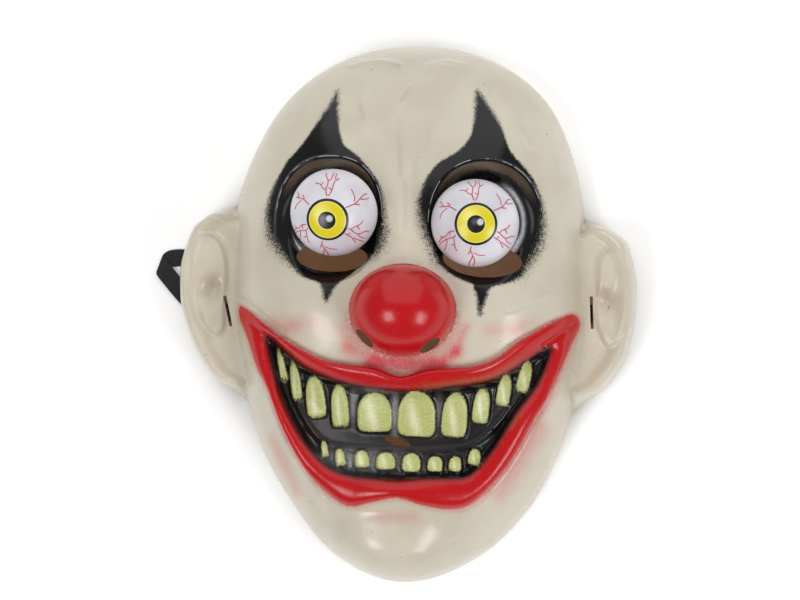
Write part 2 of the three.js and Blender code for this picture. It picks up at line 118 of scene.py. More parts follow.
# From here on in millimetres. Fine creases and ridges: points along each, half width, rise
CREASES: tuple[tuple[Line, float, float], ...] = (
    (((-31.6, 117.6), (-23.5, 119.8), (-15.8, 120), (-9.5, 118.7), (-6.1, 117.3)), 1.2, 2.2),
    (((5.5, 117.9), (10.2, 119.7), (15.5, 120.5), (22, 119.5)), 1.2, 2.2),
    (((-1.5, 105.9), (-3.6, 102.5), (-5.4, 99.6)), 1.0, -1.2),
    (((-7.7, 88.8), (-6.6, 76), (-5.3, 62.6)), 2.4, -1.2),
    (((6.5, 86), (5.6, 74), (4.6, 62)), 2.4, -1.0),
    (((-27, 113), (-22.6, 106), (-23.5, 98), (-21, 90)), 1.5, 1.2),
    (((38, 104), (44.5, 95), (50.5, 84), (55, 77)), 1.5, 1.4),
    (((-1.8, 57.3), (-1.5, 46), (-1, 35.9)), 1.8, -0.9),
    (((-84, 5.6), (-75.5, 0.9), (-70.4, -2.5), (-63.6, -7.8), (-56, -12.5)), 1.4, -1.4),
    (((48.3, 0.2), (58, 4.4), (68, 9.3)), 1.6, 1.3),
    (((-78, -4), (-73.3, -8), (-66, -14.5)), 1.4, -1.6),
    (((66, -15), (73, -9.5), (79.5, -4)), 1.3, -1.8),
    (((-63.4, -44.8), (-55.4, -62.9), (-45.6, -77.2), (-36.1, -91.9)), 2.2, 1.5),
    (((70, -40.3), (63, -56), (54, -72), (43.8, -85.5)), 2.2, 1.5),
    (((-49.2, -46.9), (-41.8, -58.3), (-34.5, -64.5), (-25, -66.5), (-8.6, -67.3), (0.7, -67),
      (14.7, -66), (33.1, -62.7), (44.5, -53), (53.4, -41.1), (62.2, -27.7), (67.9, -15)),
     1.2, 1.3),
)

# Outlines of the raised middles of the ears, left and right
EAR_MIDDLES: tuple[Line, ...] = (
    ((-105.4, 21.5), (-103.9, 29.8), (-98.9, 34.3), (-93.1, 32.7), (-89.3, 27.4), (-87.6, 20.2),
     (-87.1, 12.5), (-87.7, 5.7), (-87.6, -2), (-87.5, -10), (-90.7, -14.5), (-95.7, -11.9),
     (-100.3, -5.3), (-103.5, 3.3), (-105.1, 12.9)),
    ((89.8, 19), (90.2, 27.1), (93.4, 31.7), (98.1, 32.6), (103, 29.9), (105.4, 23.3),
     (106, 15.7), (105.7, 6.1), (104.2, -3.5), (100.9, -11.2), (96, -14.4), (92.3, -9.6),
     (89.7, -2.1), (89.4, 7.5), (89.7, 13.2)),
)

# Outlines of the black paint round the eyes, from the tip down the left and back up
EYE_PAINT: tuple[Line, ...] = (
    ((-36.4, 104.6), (-39.6, 97.6), (-44.4, 88.9), (-49.7, 79.8), (-54.2, 73.8), (-58.7, 68.8),
     (-62.4, 62.1), (-65.6, 55.9), (-67.9, 48), (-68.4, 42), (-66.6, 32.6), (-61.2, 24.8),
     (-55.7, 19.6), (-48.2, 13.3), (-41.4, 11), (-38.4, 8), (-37.2, 2.4), (-34.8, 2), (-31.8, 8.6),
     (-24.4, 15.4), (-19.4, 19.6), (-10.7, 26), (-8.9, 35.1), (-10.3, 46), (-12.7, 56.9),
     (-17.7, 64.1), (-23.5, 70.7), (-30.4, 75.6), (-32.2, 79.6), (-33.7, 84), (-35, 94)),
    ((30, 106.4), (29.5, 99), (29.3, 90), (28.4, 83), (24.9, 76.8), (19.4, 72.4), (13.3, 68),
     (8.4, 60.8), (5.8, 54), (4.9, 47.2), (7.6, 36.5), (10.7, 28.6), (14.9, 21.3), (22.8, 15.6),
     (31.3, 12.3), (32.4, 10.3), (34.2, 5), (34.8, -1.8), (36.6, -2.2), (38.4, 4.6), (40.6, 10.6),
     (45.7, 12.3), (53.9, 15.6), (59.2, 23.1), (64, 32.6), (64.7, 42.4), (64, 49.8), (61.6, 57.2),
     (57.9, 64.6), (52.6, 70.5), (47.3, 76), (43.7, 85.2), (40.6, 91.6), (35.8, 99)),
)

# Thin pink spray: both ends of a stroke, its half width, how much
BLUSH: Rows = (
    (-62, -8, -52, -10, 4, 0.26), (-52, -10, -40, -7, 4, 0.2),  # left cheek
    (40.7, -9, 52, -8, 3.6, 0.28), (52, -8, 60, -4, 3, 0.2),  # right cheek
    (-28, -11, -25, -19, 4, 0.3), (-25, -19, -12, -26.5, 3.6, 0.45),  # left of the nose
    (29.4, -8, 25.5, -19, 2.4, 0.5), (25, -20, 17, -26.5, 3.6, 0.8),  # right of the nose
    (-14, -27.5, 18, -27.5, 3.4, 0.85), (-12, -23.5, 14, -24, 3, 0.5),  # under the nose
    (-62, -64, -50, -87, 3.4, 0.34), (47, -86, 66, -54, 4, 0.4),  # jaw
    (-8, -97.5, 7, -97.5, 3.4, 0.24),  # above the chin
)

# Greyish spray round the teeth: x, y, half width, half height, how much
HALOS: Rows = (
    (-2.4, -49.4, 1.7, 8.5, 0.9), (-22.2, -47, 1.6, 7, 0.5), (18, -48, 1.4, 7, 0.35),
    (-11, -38.5, 7, 1.6, 0.4), (-18, -71.5, 19, 4.4, 0.5),
)

# Vein strokes printed on an eyeball, in hundredths of its radius from its middle, seen
# from the front of the left one
VEINS: tuple[Line, ...] = (
    ((-14, 33), (-16, 41), (-16, 50), (-13, 59), (-12, 68), (-15, 76), (-17, 82), (-16, 87)),
    ((-12, 68), (-6, 71), (-2, 80), (1, 87)),
    ((-16, 48), (-23, 51), (-28, 58), (-32, 62), (-41, 63)),
    ((-28, 59), (-25, 62), (-23, 66)),
    ((-11, 33), (-5, 42), (-2, 50), (0, 59), (4, 68), (9, 70), (13, 74)),
    ((6, 69), (5, 78), (8, 85)),
    ((-3, 47), (-10, 52)),
    ((28, 7), (44, 14), (51, 18), (60, 28), (68, 37), (75, 40)),
    ((61, 27), (71, 27), (79, 30)),
    ((48, 15), (59, 14)),
    ((47, 21), (48, 30), (44, 42), (40, 49)),
    ((33, -39), (39, -41), (46, -36), (54, -33), (61, -29), (67, -22)),
    ((54, -33), (56, -38), (59, -41)),
    ((39, -41), (47, -48), (54, -51), (63, -49), (71, -45), (80, -44)),
    ((55, -52), (59, -57), (70, -60)),
    ((26, -50), (31, -54), (39, -57), (45, -64), (50, -70)),
    ((31, -53), (35, -51), (38, -50)),
    ((46, -60), (55, -64), (67, -67)),
    ((-25, -67), (-26, -74), (-20, -84), (-14, -93), (-13, -99)),
    ((-26, -75), (-28, -78), (-30, -81)),
    ((-20, -85), (-24, -95), (-22, -99)),
    ((-19, -79), (-8, -84), (8, -85)),
    ((-58, -39), (-62, -43), (-72, -43), (-82, -45), (-87, -48)),
    ((-75, -44), (-75, -53), (-77, -62)),
    ((-62, -44), (-60, -55), (-58, -64), (-54, -71)),
    ((-60, -57), (-66, -57)),
    ((-61, -30), (-69, -30), (-72, -31), (-78, -37), (-85, -38), (-89, -43)),
    ((-69, -30), (-70, -38)),
    ((-83, -37), (-87, -34)),
    ((-54, 14), (-62, 22), (-69, 28), (-78, 30), (-85, 33)),
    ((-78, 31), (-80, 38), (-81, 46)),
    ((-66, 27), (-67, 33), (-70, 37)),
    ((-72, 24), (-80, 19), (-85, 12), (-87, 5)),
)

# The strap's centre line, the part's own route: x, y in hundredths of the half height,
# height in millimetres, heading of its width in degrees
STRAP_ROUTE: Rows = (
    (-66.7, -1.8, 15.2, 104), (-66.7, -1.8, 11.5, 104), (-68.3, -1.8, 6.5, 102),
    (-72, -1.8, 3, 97), (-77.5, -1, 1.9, 82), (-81.5, 1.2, 1.9, 58), (-84.5, 3.6, 1.9, 46),
    (-88.6, 8, 1.9, 44), (-91.4, 11.2, 1.9, 45), (-93.7, 13.8, 1.85, 54), (-95, 15.7, 1.3, 70),
    (-93.6, 17.1, 0.7, 80), (-90.5, 18.1, 0.6, 87), (-84.6, 18.3, 0.6, 90), (-73, 17, 0.6, 86),
    (-60, 13.2, 0.6, 82), (-42, 7.2, 0.6, 82), (-15, 2.6, 0.6, 86), (15, 1, 0.6, 89),
    (42, 0.8, 0.6, 90), (57, 0.9, 1.2, 91), (63, 1.4, 4.4, 92), (66.6, 1.8, 8.5, 93),
    (67.7, 1.9, 12, 93.5), (67.7, 1.9, 15, 93.5),
)


class Side(Enum):
    """The viewer's side of the face."""

    LEFT = "left"
    RIGHT = "right"


# Each eyeball: the middle of its edge, where it looks across and up, how far its print is
# turned in degrees, and how far right of the pupil's middle its glint is
EYES = {
    Side.LEFT: ((-33.8, 43.68, 59.0), (-0.079, -0.273), 0.0, 1.2),
    Side.RIGHT: ((32.24, 40.56, 59.0), (0.054, -0.104), 4.0, 2.0),
}


def srgb(red: int, green: int, blue: int) -> Colour:
    """Turns a display colour of 0 to 255 into a linear one with full alpha.

    Args:
        red: 0 to 255.
        green: 0 to 255.
        blue: 0 to 255.

    Returns:
        The linear colour.
    """
    linear = [((c / 255 + 0.055) / 1.055) ** 2.4 if c > 10 else c / 255 / 12.92
              for c in (red, green, blue)]
    return (*linear, 1.0)


def ease(t: np.ndarray) -> np.ndarray:
    """Smooth step from 0 to 1."""
    t = np.clip(t, 0, 1)
    return t * t * (3 - 2 * t)


def spot(x: np.ndarray, y: np.ndarray, cx: float, cy: float, rx: float, ry: float) -> np.ndarray:
    """Bell-shaped spot, 1 in its middle."""
    return np.exp(-(((x - cx) / rx) ** 2) - ((y - cy) / ry) ** 2)


def ball_top(apart: np.ndarray) -> np.ndarray:
    """Round top over 0 to 1 of a ball's radius, going on steeply downwards past it."""
    return np.where(apart < 1, np.sqrt(1 - np.clip(apart, 0, 1) ** 2), 4 * (1 - apart))


def join_up(a: np.ndarray, b: np.ndarray, width: float) -> np.ndarray:
    """Higher of two surfaces, with a fillet.

    Args:
        a: Heights of one surface.
        b: Heights of the other.
        width: Difference in height over which the fillet works.

    Returns:
        The joined heights.
    """
    near = np.clip(width - np.abs(a - b), 0, None) / width
    return np.maximum(a, b) + near * near * width / 4


def join_down(a: np.ndarray, b: np.ndarray, width: float) -> np.ndarray:
    """Lower of two surfaces, with a fillet."""
    return -join_up(-a, -b, width)


def to_segment(x: np.ndarray, y: np.ndarray, start: tuple, end: tuple) -> np.ndarray:
    """Distance from points to a straight stretch.

    Args:
        x: Across, any shape.
        y: Along, the same shape.
        start: The stretch's first point.
        end: Its last point.

    Returns:
        The distances.
    """
    along = (end[0] - start[0], end[1] - start[1])
    length = max(along[0] ** 2 + along[1] ** 2, 1e-9)
    t = np.clip(((x - start[0]) * along[0] + (y - start[1]) * along[1]) / length, 0, 1)
    return np.hypot(x - start[0] - t * along[0], y - start[1] - t * along[1])


def rounded(points: np.ndarray, steps: int, closed: bool = True) -> np.ndarray:
    """Catmull-Rom curve through points.

    Args:
        points: One row per point.
        steps: Stretches between two neighbours.
        closed: Whether the last point leads back to the first.

    Returns:
        The curve's points, one row each.
    """
    count = len(points)
    index = np.arange(count if closed else count - 1)

    def pick(shift: int) -> np.ndarray:
        """Each stretch's neighbour."""
        at = index + shift
        return points[at % count if closed else np.clip(at, 0, count - 1)]

    a, b, c, d = (pick(k)[:, None, :] for k in (-1, 0, 1, 2))
    t = (np.arange(steps) / steps)[None, :, None]
    curve = 0.5 * (2 * b + t * (c - a + t * (2 * a - 5 * b + 4 * c - d + t * (3 * b - a - 3 * c + d))))
    curve = curve.reshape(-1, points.shape[1])
    return curve if closed else np.vstack([curve, points[-1]])


def depth_inside(x: np.ndarray, y: np.ndarray, loop: np.ndarray) -> np.ndarray:
    """How far points lie inside a closed outline.

    Args:
        x: Across, any shape.
        y: Along, the same shape.
        loop: The outline's points.

    Returns:
        Distance to the outline, negative outside it.
    """
    near = np.full(x.shape, np.inf)
    inside = np.zeros(x.shape, bool)
    for start, end in zip(loop, np.roll(loop, -1, axis=0)):
        near = np.minimum(near, to_segment(x, y, start, end))
        spans = (start[1] > y) != (end[1] > y)
        rise = end[1] - start[1]
        if rise:
            inside ^= spans & (x < start[0] + (y - start[1]) / rise * (end[0] - start[0]))
    return np.where(inside, near, -near)


def ring_faces(rings: int, sides: int) -> np.ndarray:
    """Quads between rings of points that follow one another.

    Args:
        rings: How many rings there are.
        sides: Points on each.

    Returns:
        One row of point numbers per quad.
    """
    start = np.arange(rings - 1)[:, None] * sides
    k = np.arange(sides)[None]
    after = (k + 1) % sides
    quads = np.stack([start + k, start + k + sides, start + after + sides, start + after], -1)
    return quads.reshape(-1, 4)


def mesh_object(name: str, points: np.ndarray, faces: list, edges: list | None = None,
                smooth: bool = True) -> bpy.types.Object:
    """Makes an object of points in millimetres.

    Args:
        name: Its name.
        points: One row per point.
        faces: Point numbers of each face.
        edges: Point numbers of each edge that belongs to no face.
        smooth: Whether its faces are shaded smooth.

    Returns:
        The object, linked to the scene.
    """
    mesh = bpy.data.meshes.new(name)
    mesh.from_pydata((points * METRES).tolist(), edges or [], faces)
    mesh.update()
    if smooth:
        mesh.shade_smooth()
    made = bpy.data.objects.new(name, mesh)
    bpy.context.collection.objects.link(made)
    return made


def store(mesh: bpy.types.Mesh, name: str, values: np.ndarray) -> None:
    """Keeps one number per point on a mesh, for its material to read."""
    layer = mesh.attributes.new(name, "FLOAT", "POINT")
    layer.data.foreach_set("value", values.astype(np.float32))


def plain_copy(source: bpy.types.Object) -> None:
    """Turns an object with modifiers into the mesh that they give.

    Args:
        source: The object, which keeps its name and place.
    """
    evaluated = source.evaluated_get(bpy.context.evaluated_depsgraph_get())
    mesh = bpy.data.meshes.new_from_object(evaluated)
    source.modifiers.clear()
    source.data = mesh


@dataclass(frozen=True)
class Socket:
    """An eye socket: a bowl with a moulded ball at its bottom, squarer the lower pressed is."""

    x: float
    y: float
    rx: float
    ry: float
    pressed: float


@dataclass(frozen=True)
class FaceForm:
    """The mask's surface as a height over the rim's plane.

    The chin and the nose are x, y, half width and half height; ear_fade is in degrees.
    """

    crown: float = 62.0
    chin: tuple[float, float, float, float] = (-4.4, -112.0, 31.0, 27.4)
    chin_top: float = 44.2
    chin_rise: float = 22.0
    chin_edge_power: float = 20.0
    chin_join: float = 7.0
    dome_power: float = 2.5
    wall: float = 1.5
    ear_lift: float = 5.0
    ear_height: float = 25.0
    ear_edge: float = 4.6
    ear_dip: float = 3.4
    ear_dip_width: float = 7.0
    ear_middle: float = 1.9
    ear_groove: float = 0.5
    ear_join: float = 2.4
    ear_fade: tuple[float, float] = (24.0, 31.0)
    floor: float = 45.0
    bulge_radius: float = 22.5
    bulge_top: float = 54.0
    bulge_join: float = 1.6
    bulge_reach: float = 1.5
    bowl_join: float = 1.0
    bowl_slope: float = 60.0
    nose: tuple[float, float, float, float] = (0.0, -1.3, 24.57, 21.45)
    nose_base: float = 60.0
    nose_rise: float = 27.0
    nose_join: float = 1.8
    lip_rise: float = 5.2
    mouth_half: float = 83.2
    mouth_depth: float = 5.3
    mouth_hollow: float = 0.22
    gum_edge: float = 3.2
    tooth_rise: float = 2.3
    tooth_foot: float = 1.0
    tooth_edge: float = 1.7
    sockets: tuple[Socket, Socket] = (
        Socket(-37.05, 40.3, 24.96, 29.9, 0.86),
        Socket(36.79, 41.21, 26.0, 29.64, 0.93),
    )

    def head_reach(self, angle: np.ndarray) -> np.ndarray:
        """Centre to rim without the ears.

        Args:
            angle: Directions from the centre, in radians.

        Returns:
            Distances.
        """
        table = np.array(HEAD_REACH, float)
        count = len(table)
        at = np.mod(angle / (2 * np.pi), 1) * count
        i = np.floor(at).astype(int) % count
        t = at - np.floor(at)
        a, b, c, d = (table[(i + k) % count] for k in (-1, 0, 1, 2))
        m0, m1 = (c - a) / 2, (d - b) / 2
        return SHARE * (b + t * (m0 + t * (3 * (c - b) - 2 * m0 - m1 + t * (2 * (b - c) + m0 + m1))))

    @staticmethod
    def lean(angle: np.ndarray) -> np.ndarray:
        """Degrees above the horizontal, on either side."""
        return np.degrees(np.arctan2(np.sin(angle), np.abs(np.cos(angle))))

    def full_reach(self, angle: np.ndarray) -> np.ndarray:
        """Centre to rim with the ears.

        Args:
            angle: Directions from the centre, in radians.

        Returns:
            Distances.
        """
        fine = np.radians(np.arange(0, 360, 0.5))
        lean = self.lean(fine)
        degrees, left, right = np.array(EAR_REACH).T
        ear = np.where(np.cos(fine) < 0, np.interp(lean, degrees, left), np.interp(lean, degrees, right))
        head = self.head_reach(fine)
        reach = np.where(np.abs(lean) < self.ear_fade[1], np.maximum(ear * SHARE, head), head)
        kernel = np.exp(-(np.linspace(-2.2, 2.2, 13) ** 2))
        soft = np.convolve(np.concatenate([reach[-6:], reach, reach[:6]]), kernel / kernel.sum(), "valid")
        return np.interp(np.mod(angle, 2 * np.pi), np.append(fine, 2 * np.pi), np.append(soft, soft[0]))

    def ear_share(self, angle: np.ndarray) -> np.ndarray:
        """1 within the ears, fading to 0 above and below them."""
        low, high = self.ear_fade
        return 1 - ease((np.abs(self.lean(angle)) - low) / (high - low))

    def face(self, x: np.ndarray, y: np.ndarray, inset: float) -> np.ndarray:
        """Height of the plain face.

        Args:
            x: Across.
            y: Along.
            inset: How far the surface is moved inwards.

        Returns:
            Heights over the rim's plane.
        """
        share = np.hypot(x, y) / (self.head_reach(np.arctan2(y, x)) - inset)
        side = np.sqrt(1 - np.clip(share, 0, 1) ** self.dome_power)
        rise = np.full(x.shape, self.crown - inset)
        for cx, cy, rx, ry, swell in SWELLS:
            rise += swell * spot(x / SHARE, y / SHARE, cx, cy, rx, ry)
        cx, cy, rx, ry = self.chin
        cap = 1 - ((x - cx) / (rx - inset)) ** 2 - ((y - cy) / (ry - inset)) ** 2
        ball = self.chin_top - self.chin_rise + (self.chin_rise - inset) * np.sqrt(np.clip(cap, 0, 1))
        ball = ball * np.sqrt(1 - np.clip(share, 0, 1) ** self.chin_edge_power) * (cap > 0)
        return join_up(rise * side, ball, self.chin_join)

    def ears(self, x: np.ndarray, y: np.ndarray, inset: float) -> np.ndarray:
        """Height of the ears alone.

        Args:
            x: Across.
            y: Along.
            inset: How far the surface is moved inwards.

        Returns:
            Heights over the rim's plane, 0 away from the ears.
        """
        angle = np.arctan2(y, x)
        inwards = self.full_reach(angle) - np.hypot(x, y) - inset
        roll = np.clip(inwards / (self.ear_edge + inset), 0, 1)
        rise = (self.ear_height - inset) * np.sqrt(roll * (2 - roll))
        rise -= self.ear_dip * ease((inwards - self.ear_edge + inset) / self.ear_dip_width)
        across = np.abs(x) / SHARE
        for cx, cy, rx, ry, swell in EAR_SWELLS:
            if inset == 0 or swell < 0:
                rise += swell * roll * spot(across, y / SHARE, cx, cy, rx, ry)
        if inset == 0:
            for loop in EAR_MIDDLES:
                inside = depth_inside(x, y, rounded(np.array(loop), 3))
                rise += roll * (self.ear_middle * ease((inside + 0.4) / 2.6)
                                - self.ear_groove * np.exp(-((inside + 1.2) / 1.3) ** 2))
        return np.clip(rise - inset, 0, None) * self.ear_share(angle)

    def creases(self, x: np.ndarray, y: np.ndarray) -> np.ndarray:
        """Rise of the fine creases and ridges.

        Args:
            x: Across.
            y: Along.

        Returns:
            Rises and falls.
        """
        rise = np.zeros(x.shape)
        for points, width, amount in CREASES:
            path = rounded(np.array(points), 4, closed=False)
            near = np.min([to_segment(x, y, a, b) for a, b in zip(path[:-1], path[1:])], axis=0)
            rise += amount * np.exp(-((near / width) ** 2))
        return rise

    def mouth_rise(self, x: np.ndarray, y: np.ndarray, depths: dict[str, np.ndarray]) -> np.ndarray:
        """Rise of the lips and fall of the gums.

        Args:
            x: Across.
            y: Along.
            depths: Depths inside the lips' outline and inside the opening.

        Returns:
            Height over the plain face.
        """
        lips, opening = depths["lips"], depths["mouth"]
        across = np.clip(lips, 0, None) / (np.clip(lips, 0, None) + np.clip(-opening, 1e-6, None))
        corner = 1 - 0.3 * np.clip(np.abs(x) / self.mouth_half, 0, 1) ** 4
        ridge = self.lip_rise * corner * np.sin(np.pi * np.clip(across, 0, 1) ** 0.5) ** 0.8
        return ridge * (lips > 0) * (opening < 0) - self.mouth_fall(opening)

    def mouth_fall(self, depth: np.ndarray) -> np.ndarray:
        """Fall of the gums, steep at the opening's edge and gentle further in."""
        return self.mouth_depth * ease(depth / self.gum_edge) + self.mouth_hollow * np.clip(depth, 0, None)

    @staticmethod
    def tooth_depth(x: np.ndarray, y: np.ndarray, tooth: tuple, grow: float) -> np.ndarray:
        """How far points lie inside a tooth, with an arched top and a squarer bottom.

        Args:
            x: Across.
            y: Along.
            tooth: Its row of TEETH.
            grow: Millimetres added all round.

        Returns:
            About the distance to its outline, negative outside it.
        """
        cx, cy, width, height, lean = tooth
        turn = math.radians(-lean)
        dx, dy = x - cx * SHARE, y - cy * SHARE
        u = dx * math.cos(turn) + dy * math.sin(turn)
        v = -dx * math.sin(turn) + dy * math.cos(turn)
        half = (width * SHARE / 2 + grow, height * SHARE / 2 + grow)
        across, up = np.abs(u) / half[0], v / half[1]
        across = across * np.where(up > 0, 1.03, 1.03 + 0.05 * up)
        reach = np.where(up > 0, across**2.2 + np.abs(up) ** 2.0, across**5 + np.abs(up) ** 5)
        return (1 - reach ** np.where(up > 0, 1 / 2.1, 1 / 5)) * min(half)

    def height(self, x: np.ndarray, y: np.ndarray, inset: float = 0.0) -> np.ndarray:
        """Height of the whole surface.

        Args:
            x: Across.
            y: Along.
            inset: How far the surface is moved inwards, which gives the sheet's other side.

        Returns:
            Heights over the rim's plane.
        """
        high = self.face(x, y, inset)
        depths = mouth_depths(x, y)
        if inset:
            high = high - self.mouth_fall(depths["mouth"] + 2 * inset)
        else:
            high = high + self.mouth_rise(x, y, depths) + self.creases(x, y) * ease(high / 30)
            for tooth in TEETH:
                inside = self.tooth_depth(x, y, tooth, self.tooth_foot)
                high = high + self.tooth_rise * np.sqrt(ease(inside / self.tooth_edge))
        for socket in self.sockets:
            high = join_down(high, self.bowl(socket, x, y, inset), self.bowl_join)
        for socket in self.sockets:
            apart = np.hypot(x - socket.x, y - socket.y) / (self.bulge_radius - inset)
            ball = self.floor + (self.bulge_top - self.floor - inset) * ball_top(apart)
            high = np.where(apart < self.bulge_reach, join_up(high, ball, self.bulge_join), high)
        cx, cy, rx, ry = self.nose
        apart = np.hypot((x - cx) / (rx - inset), (y - cy) / (ry - inset))
        nose = self.nose_base + (self.nose_rise - inset) * ball_top(apart)
        high = join_up(high, nose, self.nose_join)
        return join_up(high, self.ears(x, y, inset), self.ear_join)

    def bowl(self, socket: Socket, x: np.ndarray, y: np.ndarray, inset: float) -> np.ndarray:
        """Height of a socket's bowl, rising steeply outside it.

        Args:
            socket: The socket.
            x: Across.
            y: Along.
            inset: How far the surface is moved inwards.

        Returns:
            Heights over the rim's plane.
        """
        power = 2 / socket.pressed
        apart = (np.abs((x - socket.x) / (socket.rx + inset)) ** power
                 + np.abs((y - socket.y) / (socket.ry + inset)) ** power)
        top, depth = self.crown + 1, self.crown + 1 - self.floor + inset
        return np.where(apart < 1, top - depth * np.sqrt(1 - np.clip(apart, 0, 1)),
                        top + self.bowl_slope * (np.sqrt(apart) - 1))


def mouth_depths(x: np.ndarray, y: np.ndarray) -> dict[str, np.ndarray]:
    """Depths inside the lips' outline and inside the mouth's opening.

    Args:
        x: Across.
        y: Along.

    Returns:
        Both by name, negative outside.
    """
    rows = np.array(MOUTH) * SHARE
    lips = np.vstack([rows[:, [0, 1]], rows[::-1][:, [0, 4]]])
    open_rows = rows[rows[:, 2] > rows[:, 3]]
    opening = np.vstack([open_rows[:, [0, 2]], open_rows[::-1][:, [0, 3]]])
    return {"lips": depth_inside(x, y, rounded(lips, 3)),
            "mouth": depth_inside(x, y, rounded(opening, 3))}


class Wire:
    """A value in a material's tree; Python's operators on it add Math nodes."""

    def __init__(self, shade: "Shade", socket: bpy.types.NodeSocket) -> None:
        """Wraps an output socket."""
        self.shade = shade
        self.socket = socket

    def __add__(self, other: "Wire | float") -> "Wire":
        """Sum."""
        return self.shade.math("ADD", self, other)

    def __mul__(self, other: "Wire | float") -> "Wire":
        """Product."""
        return self.shade.math("MULTIPLY", self, other)

    def __sub__(self, other: "Wire | float") -> "Wire":
        """Difference."""
        return self.shade.math("SUBTRACT", self, other)

    def __rsub__(self, other: float) -> "Wire":
        """Difference from a number."""
        return self.shade.math("SUBTRACT", other, self)

    def __truediv__(self, other: "Wire | float") -> "Wire":
        """Quotient."""
        return self.shade.math("DIVIDE", self, other)

    def __pow__(self, other: float) -> "Wire":
        """Power."""
        return self.shade.math("POWER", self, other)

    def __abs__(self) -> "Wire":
        """Size without its sign."""
        return self.shade.math("ABSOLUTE", self)

    def hump(self, middle: float, width: float) -> "Wire":
        """1 at the middle, falling off as a bell."""
        away = (self - middle) / width
        return self.shade.math("EXPONENT", away * away * -1)

    def ease(self, low: float, high: float) -> "Wire":
        """Smooth step from 0 at low to 1 at high."""
        return self.shade.node("ShaderNodeMapRange", {"interpolation_type": "SMOOTHSTEP"},
                               {"Value": self, "From Min": low, "From Max": high})


class Shade:
    """Builds one material."""

    def __init__(self, name: str) -> None:
        """Starts an empty material.

        Args:
            name: The material's name.
        """
        self.material = bpy.data.materials.new(name)
        self.material.use_nodes = True
        self.tree = self.material.node_tree
        self.tree.nodes.clear()

    def node(self, kind: str, settings: dict | None = None, inputs: dict | None = None,
             output: int | str = 0) -> Wire:
        """Adds a node.

        Args:
            kind: Its type.
            settings: Its own options, set first.
            inputs: Values or wires by the name or number of its sockets.
            output: The socket that is passed on.

        Returns:
            That output.
        """
        made = self.tree.nodes.new(kind)
        for name, value in (settings or {}).items():
            setattr(made, name, value)
        for key, value in (inputs or {}).items():
            if isinstance(value, Wire):
                self.tree.links.new(value.socket, made.inputs[key])
            else:
                made.inputs[key].default_value = value
        return Wire(self, made.outputs[output])

    def math(self, operation: str, *values: "Wire | float") -> Wire:
        """Adds a Math node."""
        return self.node("ShaderNodeMath", {"operation": operation}, dict(enumerate(values)))

    def mix(self, amount: "Wire | float", first: "Wire | Colour", second: "Wire | Colour") -> Wire:
        """Mixes two colours."""
        return self.node("ShaderNodeMix", {"data_type": "RGBA"},
                         {0: amount, 6: first, 7: second}, 2)

    def place(self) -> tuple[Wire, Wire]:
        """Where a point is on the object, across and along in millimetres.

        Returns:
            Both values.
        """
        spot = self.node("ShaderNodeTexCoord", None, None, "Object")
        return tuple(self.node("ShaderNodeSeparateXYZ", None, {"Vector": spot}, axis) / METRES
                     for axis in ("X", "Y"))

    def stored(self, name: str) -> Wire:
        """Reads one number that the mesh keeps per point."""
        return self.node("ShaderNodeAttribute", {"attribute_name": name}, None, "Fac")

    def noise(self, size: float, detail: float = 2.0, rough: float = 0.5) -> Wire:
        """Noise of a feature size in millimetres, centred on one half.

        Args:
            size: Size of its features.
            detail: How many finer layers it has.
            rough: How strong they are.

        Returns:
            The noise.
        """
        place = self.node("ShaderNodeTexCoord", None, None, "Object")
        return self.node("ShaderNodeTexNoise", {"noise_dimensions": "3D"},
                         {"Vector": place, "Scale": 1 / (size * METRES), "Detail": detail,
                          "Roughness": rough}, 0)

    def finish(self, **inputs: "Wire | float | tuple") -> bpy.types.Material:
        """Adds the surface.

        Args:
            inputs: Sockets of the Principled shader, with _ for each space.

        Returns:
            The finished material.
        """
        named = {key.replace("_", " "): value for key, value in inputs.items()}
        surface = self.node("ShaderNodeBsdfPrincipled", None, named)
        output = self.tree.nodes.new("ShaderNodeOutputMaterial")
        self.tree.links.new(surface.socket, output.inputs["Surface"])
        return self.material

    def bump(self, height: Wire, depth: float) -> Wire:
        """A normal from a height of 0 to 1, depth in millimetres."""
        return self.node("ShaderNodeBump", None,
                         {"Height": height, "Strength": 1.0, "Distance": depth * METRES})


class Airbrush:
    """The noises that break up sprayed paint on one material."""

    def __init__(self, shade: Shade) -> None:
        """Makes the fine grain, the coarse one and the slow drift.

        Args:
            shade: The material that is sprayed.
        """
        self.shade = shade
        self.grain = shade.noise(0.45, 1.0, 0.6) - 0.5
        self.coarse = shade.noise(1.6, 3.0, 0.7) - 0.5
        self.drift = shade.noise(34, 3.0, 0.55)

    def cover(self, name: str, start: float, soft: float, speck: float) -> Wire:
        """Coverage of a sprayed area.

        Args:
            name: The stored depth inside the area.
            start: Depth at which half is covered.
            soft: Depth from there to full cover.
            speck: How much the grain breaks up the edge.

        Returns:
            0 outside to 1 inside.
        """
        depth = self.shade.stored(name) + self.grain * (speck * 5) + self.coarse * (speck * 3)
        return depth.ease(start - soft, start + soft)

    def dust(self, name: str, fine: float, rough: float, base: float) -> Wire:
        """A stored thin spray, made uneven by the fine and the coarse grain."""
        return self.shade.stored(name) * (self.grain * fine + self.coarse * rough + base)


